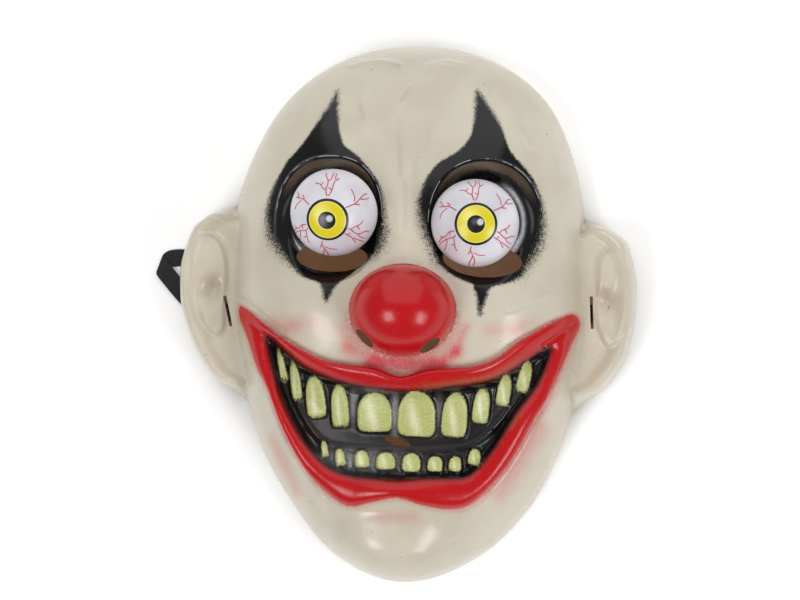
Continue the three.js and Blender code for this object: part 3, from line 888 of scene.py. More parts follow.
@dataclass(frozen=True)
class PaintedSheet:
    """Glossy formed sheet with sprayed paint, whose edges break up into specks."""

    skin: Colour = srgb(208, 201, 183)
    skin_shade: Colour = srgb(198, 190, 171)
    # Painted reddish shade for the hollows of the ears
    hollow_shade: Colour = srgb(168, 132, 112)
    speck: Colour = srgb(96, 84, 76)
    pink: Colour = srgb(206, 82, 92)
    red: Colour = srgb(182, 4, 12)
    red_light: Colour = srgb(192, 18, 26)
    maroon: Colour = srgb(78, 8, 12)
    black: Colour = srgb(15, 14, 15)
    warm_black: Colour = srgb(34, 25, 25)
    # Painted sheen in the black round the eyes
    black_sheen: Colour = srgb(40, 40, 43)
    halo: Colour = srgb(168, 168, 166)
    # Painted highlight along the sockets' upper rims
    rim_highlight: Colour = srgb(178, 178, 178)
    # Pale crescents: partly bare plastic, partly painted highlight
    bare_crescent_and_sheen: Colour = srgb(206, 206, 210)
    tooth: Colour = srgb(200, 203, 134)
    tooth_light: Colour = srgb(234, 234, 202)
    tooth_dark: Colour = srgb(162, 168, 96)
    # Bare plastic of the sockets' upper walls, darkened by painted shade
    brown: Colour = srgb(84, 70, 54)
    fringe: Colour = srgb(160, 84, 40)

    def socket_depth(self, shade: Shade, socket: Socket) -> Wire:
        """Millimetres inside a socket's outline.

        Args:
            shade: The material.
            socket: The socket.

        Returns:
            The depth, negative outside.
        """
        x, y = shade.place()
        power = 2 / socket.pressed
        apart = abs((x - socket.x) / socket.rx) ** power + abs((y - socket.y) / socket.ry) ** power
        return (1 - apart ** (1 / power)) * socket.ry

    def skin_coat(self, brush: Airbrush) -> Wire:
        """Bare skin with its dark specks, thin pink sprays and painted reddish shade in the ears' hollows.

        Args:
            brush: The noises.

        Returns:
            The colour.
        """
        mix = brush.shade.mix
        colour = mix(brush.drift.ease(0.35, 0.7), self.skin, self.skin_shade)
        # Painted reddish shade in the hollows of the ears
        colour = mix(brush.dust("ear_hollow_shade", 0, 1.2, 0.9), colour, self.hollow_shade)
        specks = brush.shade.noise(1.9, 0.0).ease(0.86, 0.885)
        colour = mix(specks * 0.55, colour, self.speck)
        return mix(brush.dust("blush", 1.3, 0.7, 0.9), colour, self.pink)

    def red_coat(self, brush: Airbrush, under: Wire) -> Wire:
        """The nose and the lips: a thin wide spray under the full red.

        Args:
            brush: The noises.
            under: The colour below.

        Returns:
            The new colour.
        """
        mix = brush.shade.mix
        red = mix(brush.coarse.ease(-0.25, 0.35), self.red, self.red_light)
        for name in ("nose", "lips"):
            under = mix(brush.cover(name, -1.1, 1.4, 0.7) * 0.45, under, self.pink)
            under = mix(brush.cover(name, 0.1, 0.5, 0.35), under, red)
        return mix(brush.dust("fringe", 2, 3, 0.7), under, self.fringe)

    def mouth_coat(self, brush: Airbrush, under: Wire, gums: Wire, teeth: Wire) -> Wire:
        """Black gums with a dark red edge, greyish spray, and the teeth.

        Args:
            brush: The noises.
            under: The colour below.
            gums: Where the black is.
            teeth: Where the teeth are.

        Returns:
            The new colour.
        """
        mix = brush.shade.mix
        colour = mix(brush.cover("mouth", -0.9, 1.2, 0.5), under, self.maroon)
        dark = mix(brush.drift.ease(0.4, 0.75), self.black, self.warm_black)
        colour = mix(gums, colour, dark)
        colour = mix(brush.dust("halo", 1.8, 1.8, 0.9) * gums, colour, self.halo)
        tooth = mix((brush.grain * 2.2 + 0.5).ease(0.1, 0.9), self.tooth_dark, self.tooth)
        tooth = mix(brush.dust("streak", 2, 0, 0.9), tooth, self.tooth_light)
        return mix(teeth, colour, tooth)

    def eye_coat(self, brush: Airbrush, under: Wire, eyes: Wire, form: FaceForm) -> tuple[Wire, Wire]:
        """Black round and inside the eye sockets, whose upper walls are browned by painted shade.

        Args:
            brush: The noises.
            under: The colour below.
            eyes: Where the black is.
            form: The sheet's form.

        Returns:
            The new colour, and 1 on the raised rims of the sockets.
        """
        shade = brush.shade
        # Painted sheen: grey patches in the black round the eyes
        painted_sheen = brush.coarse.ease(0.02, 0.4) * brush.drift.ease(0.45, 0.7)
        colour = shade.mix(eyes, under, shade.mix(painted_sheen, self.black, self.black_sheen))
        rim = 0.0
        for socket in form.sockets:
            depth = self.socket_depth(shade, socket)
            height = shade.place()[1] - socket.y
            # The bare upper walls with black overspray, browned by painted shade
            shaded_upper_wall = depth.ease(0.5, 1.0) * (1 - (depth + brush.grain * 6).ease(4.0, 5.4))
            shaded_upper_wall = shaded_upper_wall * height.ease(9, 22) * (brush.coarse * 0.8 + 0.92)
            colour = shade.mix(shaded_upper_wall, colour, self.brown)
            rim = depth.hump(-0.7, 0.5) * height.ease(-14, 4) + rim
        # A painted highlight along the upper rims, broken into dashes
        line = rim.ease(0.72, 0.95) * shade.noise(5.5).ease(0.42, 0.56)
        colour = shade.mix(line, colour, self.rim_highlight)
        # Pale crescents beside the eyeballs: partly bare plastic, partly painted highlight
        return shade.mix(brush.dust("bare_crescent_and_sheen", 3, 0, 0.9), colour, self.bare_crescent_and_sheen), rim

    def make(self, form: FaceForm) -> bpy.types.Material:
        """Builds the material for a form.

        Args:
            form: The sheet's form.

        Returns:
            The material.
        """
        shade = Shade("painted_sheet")
        brush = Airbrush(shade)
        gums = brush.cover("mouth", 0.5, 1.0, 0.4)
        teeth = brush.cover("tooth", 0.05, 0.25, 0.3)
        eyes = brush.cover("eyes", 0.1, 0.75, 0.6)
        colour = self.red_coat(brush, self.skin_coat(brush))
        colour = self.mouth_coat(brush, colour, gums, teeth)
        colour, rim = self.eye_coat(brush, colour, eyes, form)

        black = shade.math("MAXIMUM", eyes, gums)
        hollow = shade.stored("mouth").ease(3, 8) * (1 - teeth)
        gloss = brush.drift * 0.06 + brush.grain * 0.05 + 0.2
        gloss = gloss - black * 0.07 + teeth * 0.14 + hollow * 0.22
        relief = shade.noise(7.0, 3.0, 0.5) * 0.8 + brush.grain * 0.05 + rim * 4.5
        return shade.finish(Base_Color=colour, Roughness=gloss, Normal=shade.bump(relief, 0.22),
                            Subsurface_Weight=0.06, Subsurface_Radius=(1.0, 0.5, 0.28),
                            Subsurface_Scale=0.0006, Specular_IOR_Level=0.38)


@dataclass(frozen=True)
class BareSheet:
    """The sheet's unpainted back, with a little warm light that comes through the thin sheet."""

    skin: Colour = srgb(198, 184, 160)
    stain: Colour = srgb(170, 150, 124)
    glow: Colour = (1.0, 0.42, 0.14, 1.0)

    def make(self) -> bpy.types.Material:
        """Builds the material.

        Returns:
            The material.
        """
        shade = Shade("bare_sheet")
        colour = shade.mix(shade.noise(22, 3.0, 0.6).ease(0.35, 0.75), self.skin, self.stain)
        relief = shade.noise(5.0, 3.0, 0.6)
        return shade.finish(Base_Color=colour, Roughness=shade.noise(9) * 0.15 + 0.36,
                            Normal=shade.bump(relief, 0.2), Emission_Color=self.glow,
                            Emission_Strength=0.06)


@dataclass(frozen=True)
class PrintedBall:
    """Satin white plastic with a printed iris, and a painted highlight and reflection on it."""

    white: Colour = srgb(226, 224, 230)
    grey_white: Colour = srgb(206, 203, 212)
    black: Colour = srgb(16, 15, 16)
    yellow: Colour = srgb(222, 206, 30)
    pale: Colour = srgb(240, 234, 120)
    # Soft painted reflection in the pupil
    pupil_reflection: Colour = srgb(110, 110, 116)
    glint_edge: Colour = srgb(120, 120, 118)
    glint: Colour = srgb(204, 204, 202)

    def make(self) -> bpy.types.Material:
        """Builds the material.

        Returns:
            The material.
        """
        shade = Shade("printed_eyeball")
        across, up = shade.stored("print_x"), shade.stored("print_y")
        grain = shade.noise(0.5, 2.0) - 0.5

        def within(x: "Wire | float", y: float, radius: float, soft: float) -> Wire:
            """1 inside a round spot of the print.

            Args:
                x: Its middle across.
                y: Its middle up.
                radius: Its radius.
                soft: Half the width of its soft edge.

            Returns:
                0 outside to 1 inside.
            """
            dx, dy = across - x, up - y
            apart = shade.math("SQRT", dx * dx + dy * dy) + grain * 0.12
            return 1 - apart.ease(radius - soft, radius + soft)

        # Whites that vary at random between two tones
        colour = shade.mix(shade.noise(16, 2.0).ease(0.3, 0.7), self.white, self.grey_white)
        # Paler yellow towards the iris's upper left: a painted highlight
        yellow = shade.mix(within(-3.4, 3.6, 3.6, 3.2), self.yellow, self.pale)
        # The iris from its dark edge inwards: radius, softness, ink
        for radius, soft, ink in ((10.3, 0.14, self.black), (8.95, 0.12, self.pale), (8.55, 0.12, yellow),
                                  (4.5, 0.12, self.pale), (4.15, 0.12, self.black)):
            colour = shade.mix(within(0, 0, radius, soft), colour, ink)
        glint_x = shade.stored("glint_x")
        # A soft painted reflection in the pupil, left of its glint
        colour = shade.mix(within(glint_x - 2.6, 1.2, 1.2, 1.3) * 0.6, colour, self.pupil_reflection)
        colour = shade.mix(within(glint_x, 0.9, 1.75, 0.14), colour, self.glint_edge)
        colour = shade.mix(within(glint_x, 0.9, 1.4, 0.2), colour, self.glint)
        relief = shade.noise(3.0, 2.0)
        return shade.finish(Base_Color=colour, Roughness=grain * 0.12 + 0.3,
                            Normal=shade.bump(relief, 0.03), Subsurface_Weight=0.08,
                            Subsurface_Radius=(1.0, 0.9, 0.9), Subsurface_Scale=0.001)


@dataclass(frozen=True)
class VeinInk:
    """Thin pinkish red print."""

    dark: Colour = srgb(190, 40, 66)
    light: Colour = srgb(208, 84, 106)

    def make(self) -> bpy.types.Material:
        """Builds the material.

        Returns:
            The material.
        """
        shade = Shade("vein_ink")
        colour = shade.mix(shade.noise(1.4, 2.0).ease(0.3, 0.7), self.dark, self.light)
        return shade.finish(Base_Color=colour, Roughness=0.4)


@dataclass(frozen=True)
class PlainStem:
    """Dull moulded plastic of the hidden stems."""

    body: Colour = srgb(216, 216, 212)
    stain: Colour = srgb(188, 188, 184)

    def make(self) -> bpy.types.Material:
        """Builds the material.

        Returns:
            The material.
        """
        shade = Shade("stem_plastic")
        colour = shade.mix(shade.noise(3.0, 3.0).ease(0.35, 0.7), self.body, self.stain)
        return shade.finish(Base_Color=colour, Roughness=shade.noise(2.0) * 0.2 + 0.4,
                            Normal=shade.bump(shade.noise(0.8, 2.0), 0.02))


@dataclass(frozen=True)
class WovenElastic:
    """Black knitted elastic: fine stitches between lengthwise ribs."""

    thread: Colour = srgb(34, 33, 35)
    gap: Colour = srgb(10, 10, 11)
    stitch: float = 0.75

    def make(self) -> bpy.types.Material:
        """Builds the material.

        Returns:
            The material.
        """
        shade = Shade("woven_elastic")
        along, across = shade.stored("along"), shade.stored("across")
        slant = shade.math("PINGPONG", across, 0.36) * 0.9
        wave = shade.math("SINE", (along + slant) * (2 * math.pi / self.stitch)) * 0.5 + 0.5
        fuzz = shade.noise(0.25, 2.0)
        knit = wave * 0.7 + fuzz * 0.3
        colour = shade.mix(knit, self.gap, self.thread)
        return shade.finish(Base_Color=colour, Roughness=fuzz * 0.2 + 0.7, Normal=shade.bump(knit, 0.16),
                            Sheen_Weight=0.25, Sheen_Roughness=0.5)


@dataclass(frozen=True)
class PaleFloor:
    """Matt white paper, lit from below round the mask."""

    paper: Colour = srgb(250, 250, 250)
    tint: Colour = srgb(244, 244, 245)
    half: tuple[float, float] = (106.0, 130.0)

    def make(self) -> bpy.types.Material:
        """Builds the material.

        Returns:
            The material.
        """
        shade = Shade("pale_floor")
        colour = shade.mix(shade.noise(300, 2.0), self.paper, self.tint)
        x, y = shade.place()
        wide = (y * -1).ease(15, 130) * (self.half[0] * -0.34) + self.half[0]
        apart = ((x / wide) ** 2 + (y / self.half[1]) ** 2) ** 0.5
        ring = apart.ease(0.86, 1.0) * (1 - apart.ease(1.4, 2.2) * 0.4)
        glow = shade.mix(ring, (0.0, 0.0, 0.0, 1.0), (1.0, 1.0, 1.0, 1.0))
        return shade.finish(Base_Color=colour, Roughness=0.9, Specular_IOR_Level=0.1,
                            Emission_Color=glow, Emission_Strength=0.2)


# Soft lights: direction from the mask, distance, width and height, watts
LIGHTS = {
    "softbox_left": ((-0.47, -0.42, 0.78), 2600, (820, 1250), 25.5),
    "softbox_right": ((0.7, -0.41, 0.58), 2600, (820, 1250), 25.5),
    "overhead": ((0.0, 0.81, 0.59), 2200, (3600, 3200), 35),
}


@dataclass
class Studio:
    """The camera at the photograph's angle, soft lights and a pale floor."""

    aim: tuple[float, float, float] = (-3.352, 5.103, 30.0)
    distance: float = 1300.0
    yaw: float = 3.5
    pitch: float = -3.0
    roll: float = 2.0
    lens: float = 122.79
    fill: float = 0.3
    lit_height: float = 50.0
    floor_half: float = 3000.0
    floor_drop: float = 0.05

    def axes(self) -> tuple[Vector, Vector, Vector]:
        """The camera's right, up and backward directions.

        Returns:
            The three directions.
        """
        across, along = math.sin(math.radians(self.yaw)), math.sin(math.radians(self.pitch))
        back = Vector((across, along, math.sqrt(1 - across**2 - along**2)))
        right = (-back).cross(Vector((0, 1, 0))).normalized()
        up = right.cross(-back)
        turn = math.radians(self.roll)
        return (right * math.cos(turn) + up * math.sin(turn),
                up * math.cos(turn) - right * math.sin(turn), back)

    def build(self) -> None:
        """Makes the camera, the lights, the world and the floor."""
        right, up, back = self.axes()
        data = bpy.data.cameras.new("camera")
        data.lens, data.sensor_width, data.clip_end = self.lens, 36.0, 20.0
        camera = bpy.data.objects.new("camera", data)
        bpy.context.collection.objects.link(camera)
        turn = Matrix((right, up, back)).transposed().to_4x4()
        camera.matrix_world = Matrix.Translation((Vector(self.aim) + back * self.distance) * METRES) @ turn
        bpy.context.scene.camera = camera

        for name, light in LIGHTS.items():
            self.softbox(name, *light)
        world = bpy.data.worlds.new("studio")
        world.use_nodes = True
        world.node_tree.nodes["Background"].inputs["Color"].default_value = (1, 1, 1, 1)
        world.node_tree.nodes["Background"].inputs["Strength"].default_value = self.fill
        bpy.context.scene.world = world
        bpy.context.scene.view_settings.view_transform = "Standard"

        half, low = self.floor_half, -self.floor_drop
        corners = np.array([[-half, -half, low], [half, -half, low], [half, half, low], [-half, half, low]])
        floor = mesh_object("floor", corners, [[0, 1, 2, 3]], smooth=False)
        floor.data.materials.append(PaleFloor().make())
        log.info("studio: camera, three lights and a floor")

    def softbox(self, name: str, towards: tuple[float, float, float], distance: float,
                size: tuple[float, float], power: float) -> None:
        """Adds an upright rectangular soft light.

        Args:
            name: Its name.
            towards: Direction from the mask to it.
            distance: How far away it stands.
            size: Its width and height.
            power: Its watts.
        """
        data = bpy.data.lights.new(name, "AREA")
        data.shape, data.energy = "RECTANGLE", power
        data.size, data.size_y = size[0] * METRES, size[1] * METRES
        lamp = bpy.data.objects.new(name, data)
        bpy.context.collection.objects.link(lamp)
        way = Vector(towards).normalized()
        right = Vector((0, 1, 0)).cross(way).normalized()
        turn = Matrix((right, way.cross(right), way)).transposed().to_4x4()
        place = (Vector((0, 0, self.lit_height)) + way * distance) * METRES
        lamp.matrix_world = Matrix.Translation(place) @ turn


@dataclass
class Strap:
    """Flat ribbed elastic from slit to slit, laid on the floor."""

    width: float = 8.6
    thick: float = 0.9
    ribs: int = 9
    rib_rise: float = 0.14
    per_stretch: int = 10

    def centre_line(self) -> tuple[np.ndarray, np.ndarray]:
        """Points along the strap and the heading of its width at each.

        Returns:
            Points, and angles in radians.
        """
        rows = np.array(STRAP_ROUTE, float)
        rows[:, :2] *= SHARE
        curve = rounded(rows, self.per_stretch, closed=False)
        return curve[:, :3], np.radians(curve[:, 3])

    def section(self) -> np.ndarray:
        """The cross-section: ribs on both faces and rounded edges, as across and up.

        Returns:
            One row per point.
        """
        steps = np.linspace(-1, 1, self.ribs * 4 + 1)
        rib = self.rib_rise * np.cos(steps * self.ribs * np.pi + np.pi * (self.ribs - 1))
        edge = np.sqrt(np.clip(1 - np.abs(steps) ** 14, 0, 1))
        up = (self.thick / 2 - self.rib_rise + rib) * edge
        across = steps * self.width / 2
        top = np.stack([across, up], 1)
        return np.vstack([top, top[-2:0:-1] * (1, -1)])

    def build(self, material: bpy.types.Material) -> None:
        """Args:
            material: Its finish.
        """
        line, heading = self.centre_line()
        travel = np.gradient(line, axis=0)
        travel /= np.linalg.norm(travel, axis=1, keepdims=True)
        wide = np.stack([np.cos(heading), np.sin(heading), np.zeros(len(line))], 1)
        high = np.cross(travel, wide)
        high /= np.linalg.norm(high, axis=1, keepdims=True)
        section = self.section()
        sides = len(section)
        points = (line[:, None] + section[None, :, :1] * wide[:, None]
                  + section[None, :, 1:] * high[:, None]).reshape(-1, 3)
        lengths = np.concatenate([[0], np.cumsum(np.linalg.norm(np.diff(line, axis=0), axis=1))])
        faces = ring_faces(len(line), sides).tolist()
        half = sides // 2
        for base, flip in ((0, False), ((len(line) - 1) * sides, True)):
            for i in range(half):
                low, high_side = (sides - i) % sides, sides - i - 1
                quad = [base + i, base + i + 1, base + high_side, base + low]
                quad = list(dict.fromkeys(quad))
                if len(quad) > 2:
                    faces.append(quad[::-1] if flip else quad)
        strap = mesh_object("strap_band", points, faces)
        store(strap.data, "along", np.repeat(lengths, sides))
        store(strap.data, "across", np.tile(section[:, 0], len(line)))
        strap.data.materials.append(material)
        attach(strap, BODY)
        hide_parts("strap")
        tuple(line[0] * METRES)
        [tuple(p) for p in line * METRES]


@dataclass
class MaskSheet:
    """The formed and painted sheet, cut through at its openings."""

    form: FaceForm = field(default_factory=FaceForm)
    rings: int = 134
    lining_rings: int = 67
    crowding: float = 0.3
    rounds: int = 60
    stiffest: float = 3.5
    pull: float = 0.7
    sharp_from: float = 62.0
    cutter_sides: int = 56
    cutter_span: tuple[float, float] = (-10.0, 110.0)

    def grid(self, rings: int, inset: float) -> tuple[np.ndarray, np.ndarray]:
        """Draws a square grid onto rings inside the mask's outline.

        Args:
            rings: Rings from the centre to the outline.
            inset: How far inside the outline the last ring lies.

        Returns:
            Across and along, both square.
        """
        step = np.arange(-rings, rings + 1)
        i, j = np.meshgrid(step, step)
        wide = np.abs(i) >= np.abs(j)
        safe_i, safe_j = np.where(i == 0, 1, i), np.where(j == 0, 1, j)
        angle = np.where(wide, np.pi / 4 * j / safe_i + np.pi * (i < 0),
                         np.pi / 2 - np.pi / 4 * i / safe_j + np.pi * (j < 0))
        ring = np.maximum(np.abs(i), np.abs(j)) / rings
        radius = ring * (1 + self.crowding * (1 - ring**2)) * (self.form.full_reach(angle) - inset)
        return radius * np.cos(angle), radius * np.sin(angle)

    def settle(self, x: np.ndarray, y: np.ndarray, inset: float) -> tuple[np.ndarray, np.ndarray]:
        """Draws grid lines together on steep walls, by springs that the slope stiffens.

        Args:
            x: Across, square.
            y: Along, square.
            inset: The surface's inset.

        Returns:
            The moved grid.
        """
        step, half = 0.5, (125.0, 135.0)
        gx, gy = np.arange(-half[0], half[0] + step, step), np.arange(-half[1], half[1] + step, step)
        raster = self.form.height(*np.meshgrid(gx, gy), inset)

        def look_up(place: np.ndarray) -> np.ndarray:
            """Height over places, from the raster.

            Args:
                place: Across and along in the last column.

            Returns:
                Heights.
            """
            u = np.clip((place[..., 0] + half[0]) / step, 0, len(gx) - 1.001)
            v = np.clip((place[..., 1] + half[1]) / step, 0, len(gy) - 1.001)
            a, b = u.astype(int), v.astype(int)
            s, t = u - a, v - b
            return ((raster[b, a] * (1 - s) + raster[b, a + 1] * s) * (1 - t)
                    + (raster[b + 1, a] * (1 - s) + raster[b + 1, a + 1] * s) * t)

        place = np.stack([x, y], -1)
        rest = [np.linalg.norm(np.diff(place, axis=axis), axis=-1) for axis in (0, 1)]
        for _ in range(self.rounds):
            z = look_up(place)
            springs = []
            for axis in (0, 1):
                flat = np.linalg.norm(np.diff(place, axis=axis), axis=-1)
                slope = np.diff(z, axis=axis) / np.maximum(flat, 0.05)
                springs.append(np.clip(np.sqrt(1 + slope**2), 1, self.stiffest) / rest[axis])
            down, across = springs
            core = (slice(1, -1), slice(1, -1))
            parts = [(down[:-1, 1:-1], place[:-2, 1:-1]), (down[1:, 1:-1], place[2:, 1:-1]),
                     (across[1:-1, :-1], place[1:-1, :-2]), (across[1:-1, 1:], place[1:-1, 2:])]
            total = sum(weight for weight, _ in parts)
            pulled = sum(weight[..., None] * near for weight, near in parts) / total[..., None]
            place[core] += self.pull * (pulled - place[core])
        return place[..., 0], place[..., 1]

    def surface(self, rings: int, inset: float) -> tuple[np.ndarray, np.ndarray, np.ndarray]:
        """One side of the sheet.

        Args:
            rings: Rings from the centre to the outline.
            inset: The surface's inset.

        Returns:
            Points, triangles and the border's point numbers, anticlockwise.
        """
        x, y = self.settle(*self.grid(rings, inset), inset)
        z = self.form.height(x, y, inset)
        lift = self.form.ear_lift * self.form.ear_share(np.arctan2(y, x))
        z = np.maximum(z, lift)
        across = 2 * rings + 1
        edge = np.zeros(x.shape, bool)
        edge[[0, -1]] = edge[:, [0, -1]] = True
        z[edge] = lift[edge]
        points = np.stack([x, y, z], -1).reshape(-1, 3)
        number = np.arange(across * across).reshape(across, across)
        a, b, c, d = (number[:-1, :-1].ravel(), number[:-1, 1:].ravel(),
                      number[1:, 1:].ravel(), number[1:, :-1].ravel())
        long = (np.linalg.norm(points[a] - points[c], axis=1)
                > np.linalg.norm(points[b] - points[d], axis=1))[:, None]
        first = np.where(long, np.stack([a, b, d], 1), np.stack([a, b, c], 1))
        second = np.where(long, np.stack([b, c, d], 1), np.stack([a, c, d], 1))
        border = np.concatenate([number[0, :-1], number[:-1, -1], number[-1, :0:-1], number[:0:-1, 0]])
        return points, np.vstack([first, second]), border

    def cutters(self) -> bpy.types.Object:
        """Upright prisms for the openings and the slits.

        Returns:
            One object with all of them.
        """
        points, faces = [], []
        for row, power in [(row, 2.0) for row in OPENINGS] + [(row, 12.0) for row in SLITS]:
            x, y, width, height, turn = (*(v * SHARE for v in row[:4]), math.radians(row[4]))
            angle = np.linspace(0, 2 * np.pi, self.cutter_sides, endpoint=False)
            u = width / 2 * np.sign(np.cos(angle)) * np.abs(np.cos(angle)) ** (2 / power)
            v = height / 2 * np.sign(np.sin(angle)) * np.abs(np.sin(angle)) ** (2 / power)
            ring = np.stack([x + u * math.cos(turn) - v * math.sin(turn),
                             y + u * math.sin(turn) + v * math.cos(turn)], 1)
            base, count = sum(map(len, points)), len(ring)
            points += [np.column_stack([ring, np.full(count, z)]) for z in self.cutter_span]
            k = np.arange(count)
            after = (k + 1) % count
            faces += (np.stack([k, after, after + count, k + count], 1) + base).tolist()
            faces += [list(range(base + count - 1, base - 1, -1)),
                      list(range(base + count, base + 2 * count))]
        return mesh_object("cutters", np.vstack(points), faces, smooth=False)

    def build(self, painted: bpy.types.Material, bare: bpy.types.Material) -> None:
        """Makes the sheet, cuts it and stores its paint.

        Args:
            painted: The face's finish.
            bare: The back's finish.
        """
        sheet = self.walls()
        sheet.data.materials.append(painted)
        sheet.data.materials.append(bare)
        solver = self.pierce(sheet)
        self.paint(sheet.data)
        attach(sheet, BODY)
        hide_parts("mask_shell")
        log.info("mask_sheet: %d faces, %s solver", len(sheet.data.polygons), solver)

    def walls(self) -> bpy.types.Object:
        """The closed sheet: its face, its rim and its back, which takes the second material.

        Returns:
            The object, not yet cut.
        """
        outer, outer_faces, outer_border = self.surface(self.rings, 0.0)
        inner, inner_faces, inner_border = self.surface(self.lining_rings, self.form.wall)
        inner_faces = inner_faces[:, ::-1] + len(outer)
        inner_border = inner_border + len(outer)
        near = outer_border[::2]
        middle, far = outer_border[1::2], np.roll(outer_border, -2)[::2]
        beyond = np.roll(inner_border, -1)
        rim = np.vstack([np.stack([near, inner_border, middle], 1),
                         np.stack([middle, inner_border, beyond], 1),
                         np.stack([middle, beyond, far], 1)])
        sheet = mesh_object("mask_sheet", np.vstack([outer, inner]),
                            np.vstack([outer_faces, rim, inner_faces]).tolist())
        index = np.zeros(len(sheet.data.polygons), np.int32)
        index[len(outer_faces):] = 1
        sheet.data.polygons.foreach_set("material_index", index)
        return sheet

    def pierce(self, sheet: bpy.types.Object) -> str:
        """Cuts the openings and the slits.

        Args:
            sheet: The sheet's object.

        Returns:
            The name of the solver that did it.
        """
        cutters = self.cutters()
        cut = sheet.modifiers.new("openings", "BOOLEAN")
        cut.operation, cut.object = "DIFFERENCE", cutters
        solvers = cut.bl_rna.properties["solver"].enum_items.keys()
        solver = cut.solver = "MANIFOLD" if "MANIFOLD" in solvers else "EXACT"
        plain_copy(sheet)
        bpy.data.objects.remove(cutters)
        sheet.data.shade_smooth()
        sheet.data.set_sharp_from_angle(angle=math.radians(self.sharp_from))
        return solver

    def paint(self, mesh: bpy.types.Mesh) -> None:
        """Stores where each paint lies: depth inside its area, or how much of a thin spray.

        Args:
            mesh: The sheet's mesh.
        """
        flat = np.empty(len(mesh.vertices) * 3, np.float32)
        mesh.vertices.foreach_get("co", flat)
        x, y, _ = (flat.reshape(-1, 3) / METRES).T.astype(float)
        for coat in (self.mouth_paint, self.nose_paint, self.eye_paint, self.thin_paint):
            for name, values in coat(x, y).items():
                store(mesh, name, values)

    def mouth_paint(self, x: np.ndarray, y: np.ndarray) -> dict[str, np.ndarray]:
        """Lips, gums, teeth with a light streak on each, and the brown below the upper lip.

        Args:
            x: Across.
            y: Along.

        Returns:
            Values per point by the name that the material reads.
        """
        depths = mouth_depths(x, y)
        teeth = [self.form.tooth_depth(x, y, row, 0.0) for row in TEETH]
        streak = np.zeros(x.shape)
        for row, depth in zip(TEETH, teeth):
            u = (x - row[0] * SHARE) / (row[2] * SHARE)
            v = (y - row[1] * SHARE) / (row[3] * SHARE)
            stripe = np.exp(-((u + 0.1 + 0.25 * v) / 0.13) ** 2) * np.exp(-((v + 0.1) / 0.42) ** 2)
            streak += np.where(depth > 0, stripe, 0)
        lip_edge = np.exp(-((depths["mouth"] + 1.2) / 1.8) ** 2)
        right_half = ease((x - 2) / 12) * (1 - ease((x - 48) / 14)) * (y > -55)
        lower_right = ease((x - 20) / 40) * ease(-y / 40)
        return {"lips": depths["lips"] / (1 + 0.9 * lower_right), "mouth": depths["mouth"],
                "tooth": np.max(teeth, axis=0), "streak": streak * 0.8,
                "fringe": 0.9 * lip_edge * right_half}

    def nose_paint(self, x: np.ndarray, y: np.ndarray) -> dict[str, np.ndarray]:
        """The nose's red, whose edge is softer at the sides and softest below.

        Args:
            x: Across.
            y: Along.

        Returns:
            Values per point by the name that the material reads.
        """
        cx, cy, rx, ry = self.form.nose
        apart = np.hypot((x - cx) / rx, (y - cy) / ry)
        low = ease((cy - y) / ry + 0.25)
        edge = 0.16 + 0.2 * ease(np.abs(x - cx) / rx) + 2.3 * low
        return {"nose": (1.015 - apart) * ry / edge}

    def eye_paint(self, x: np.ndarray, y: np.ndarray) -> dict[str, np.ndarray]:
        """The black round the eyes and the pale crescents beside the eyeballs.

        Args:
            x: Across.
            y: Along.

        Returns:
            The black round the eyes, and pale crescents by the eyeballs that are partly painted highlight.
        """
        eyes = np.max([depth_inside(x, y, rounded(np.array(loop), 3)) for loop in EYE_PAINT], axis=0)
        fuzz = 0.8 + 3.4 * ease((66 - y) / 40) * ease((np.abs(np.abs(x) - 35) - 12) / 14)
        fuzz += 0.9 * ease((y - 82) / 16) + 0.6 * ease((12 - y) / 6)
        # Pale crescents beside the eyeballs: partly bare plastic, partly painted highlight
        bare_crescent_and_sheen = np.zeros(x.shape)
        for socket in self.form.sockets:
            side = 1 if socket.x > 0 else -1
            away = np.hypot(x - socket.x + 3.4 * side, y - socket.y - 0.3) - 20.9
            outer = ease((side * (x - socket.x) - 5) / 8)
            where = ease((y - socket.y + 18) / 8) if side > 0 else 0.7 * ease((socket.y - y - 8) / 6)
            bare_crescent_and_sheen += np.exp(-((away - 0.3) / 0.9) ** 2) * outer * where
        return {"eyes": eyes / fuzz, "bare_crescent_and_sheen": bare_crescent_and_sheen * 0.9}

    def thin_paint(self, x: np.ndarray, y: np.ndarray) -> dict[str, np.ndarray]:
        """Pink spray, greyish spray round the teeth, and painted reddish shade in the hollows of the ears.

        Args:
            x: Across.
            y: Along.

        Returns:
            Values per point by the name that the material reads.
        """
        blush = np.zeros(x.shape)
        for x0, y0, x1, y1, width, amount in BLUSH:
            blush += amount * np.exp(-((to_segment(x, y, (x0, y0), (x1, y1)) / width) ** 2))
        halo = sum(amount * spot(x, y, *place) for *place, amount in HALOS)
        return {"blush": blush, "halo": halo, "ear_hollow_shade": 0.5 * spot(np.abs(x), y, 94, 11, 5, 5)}


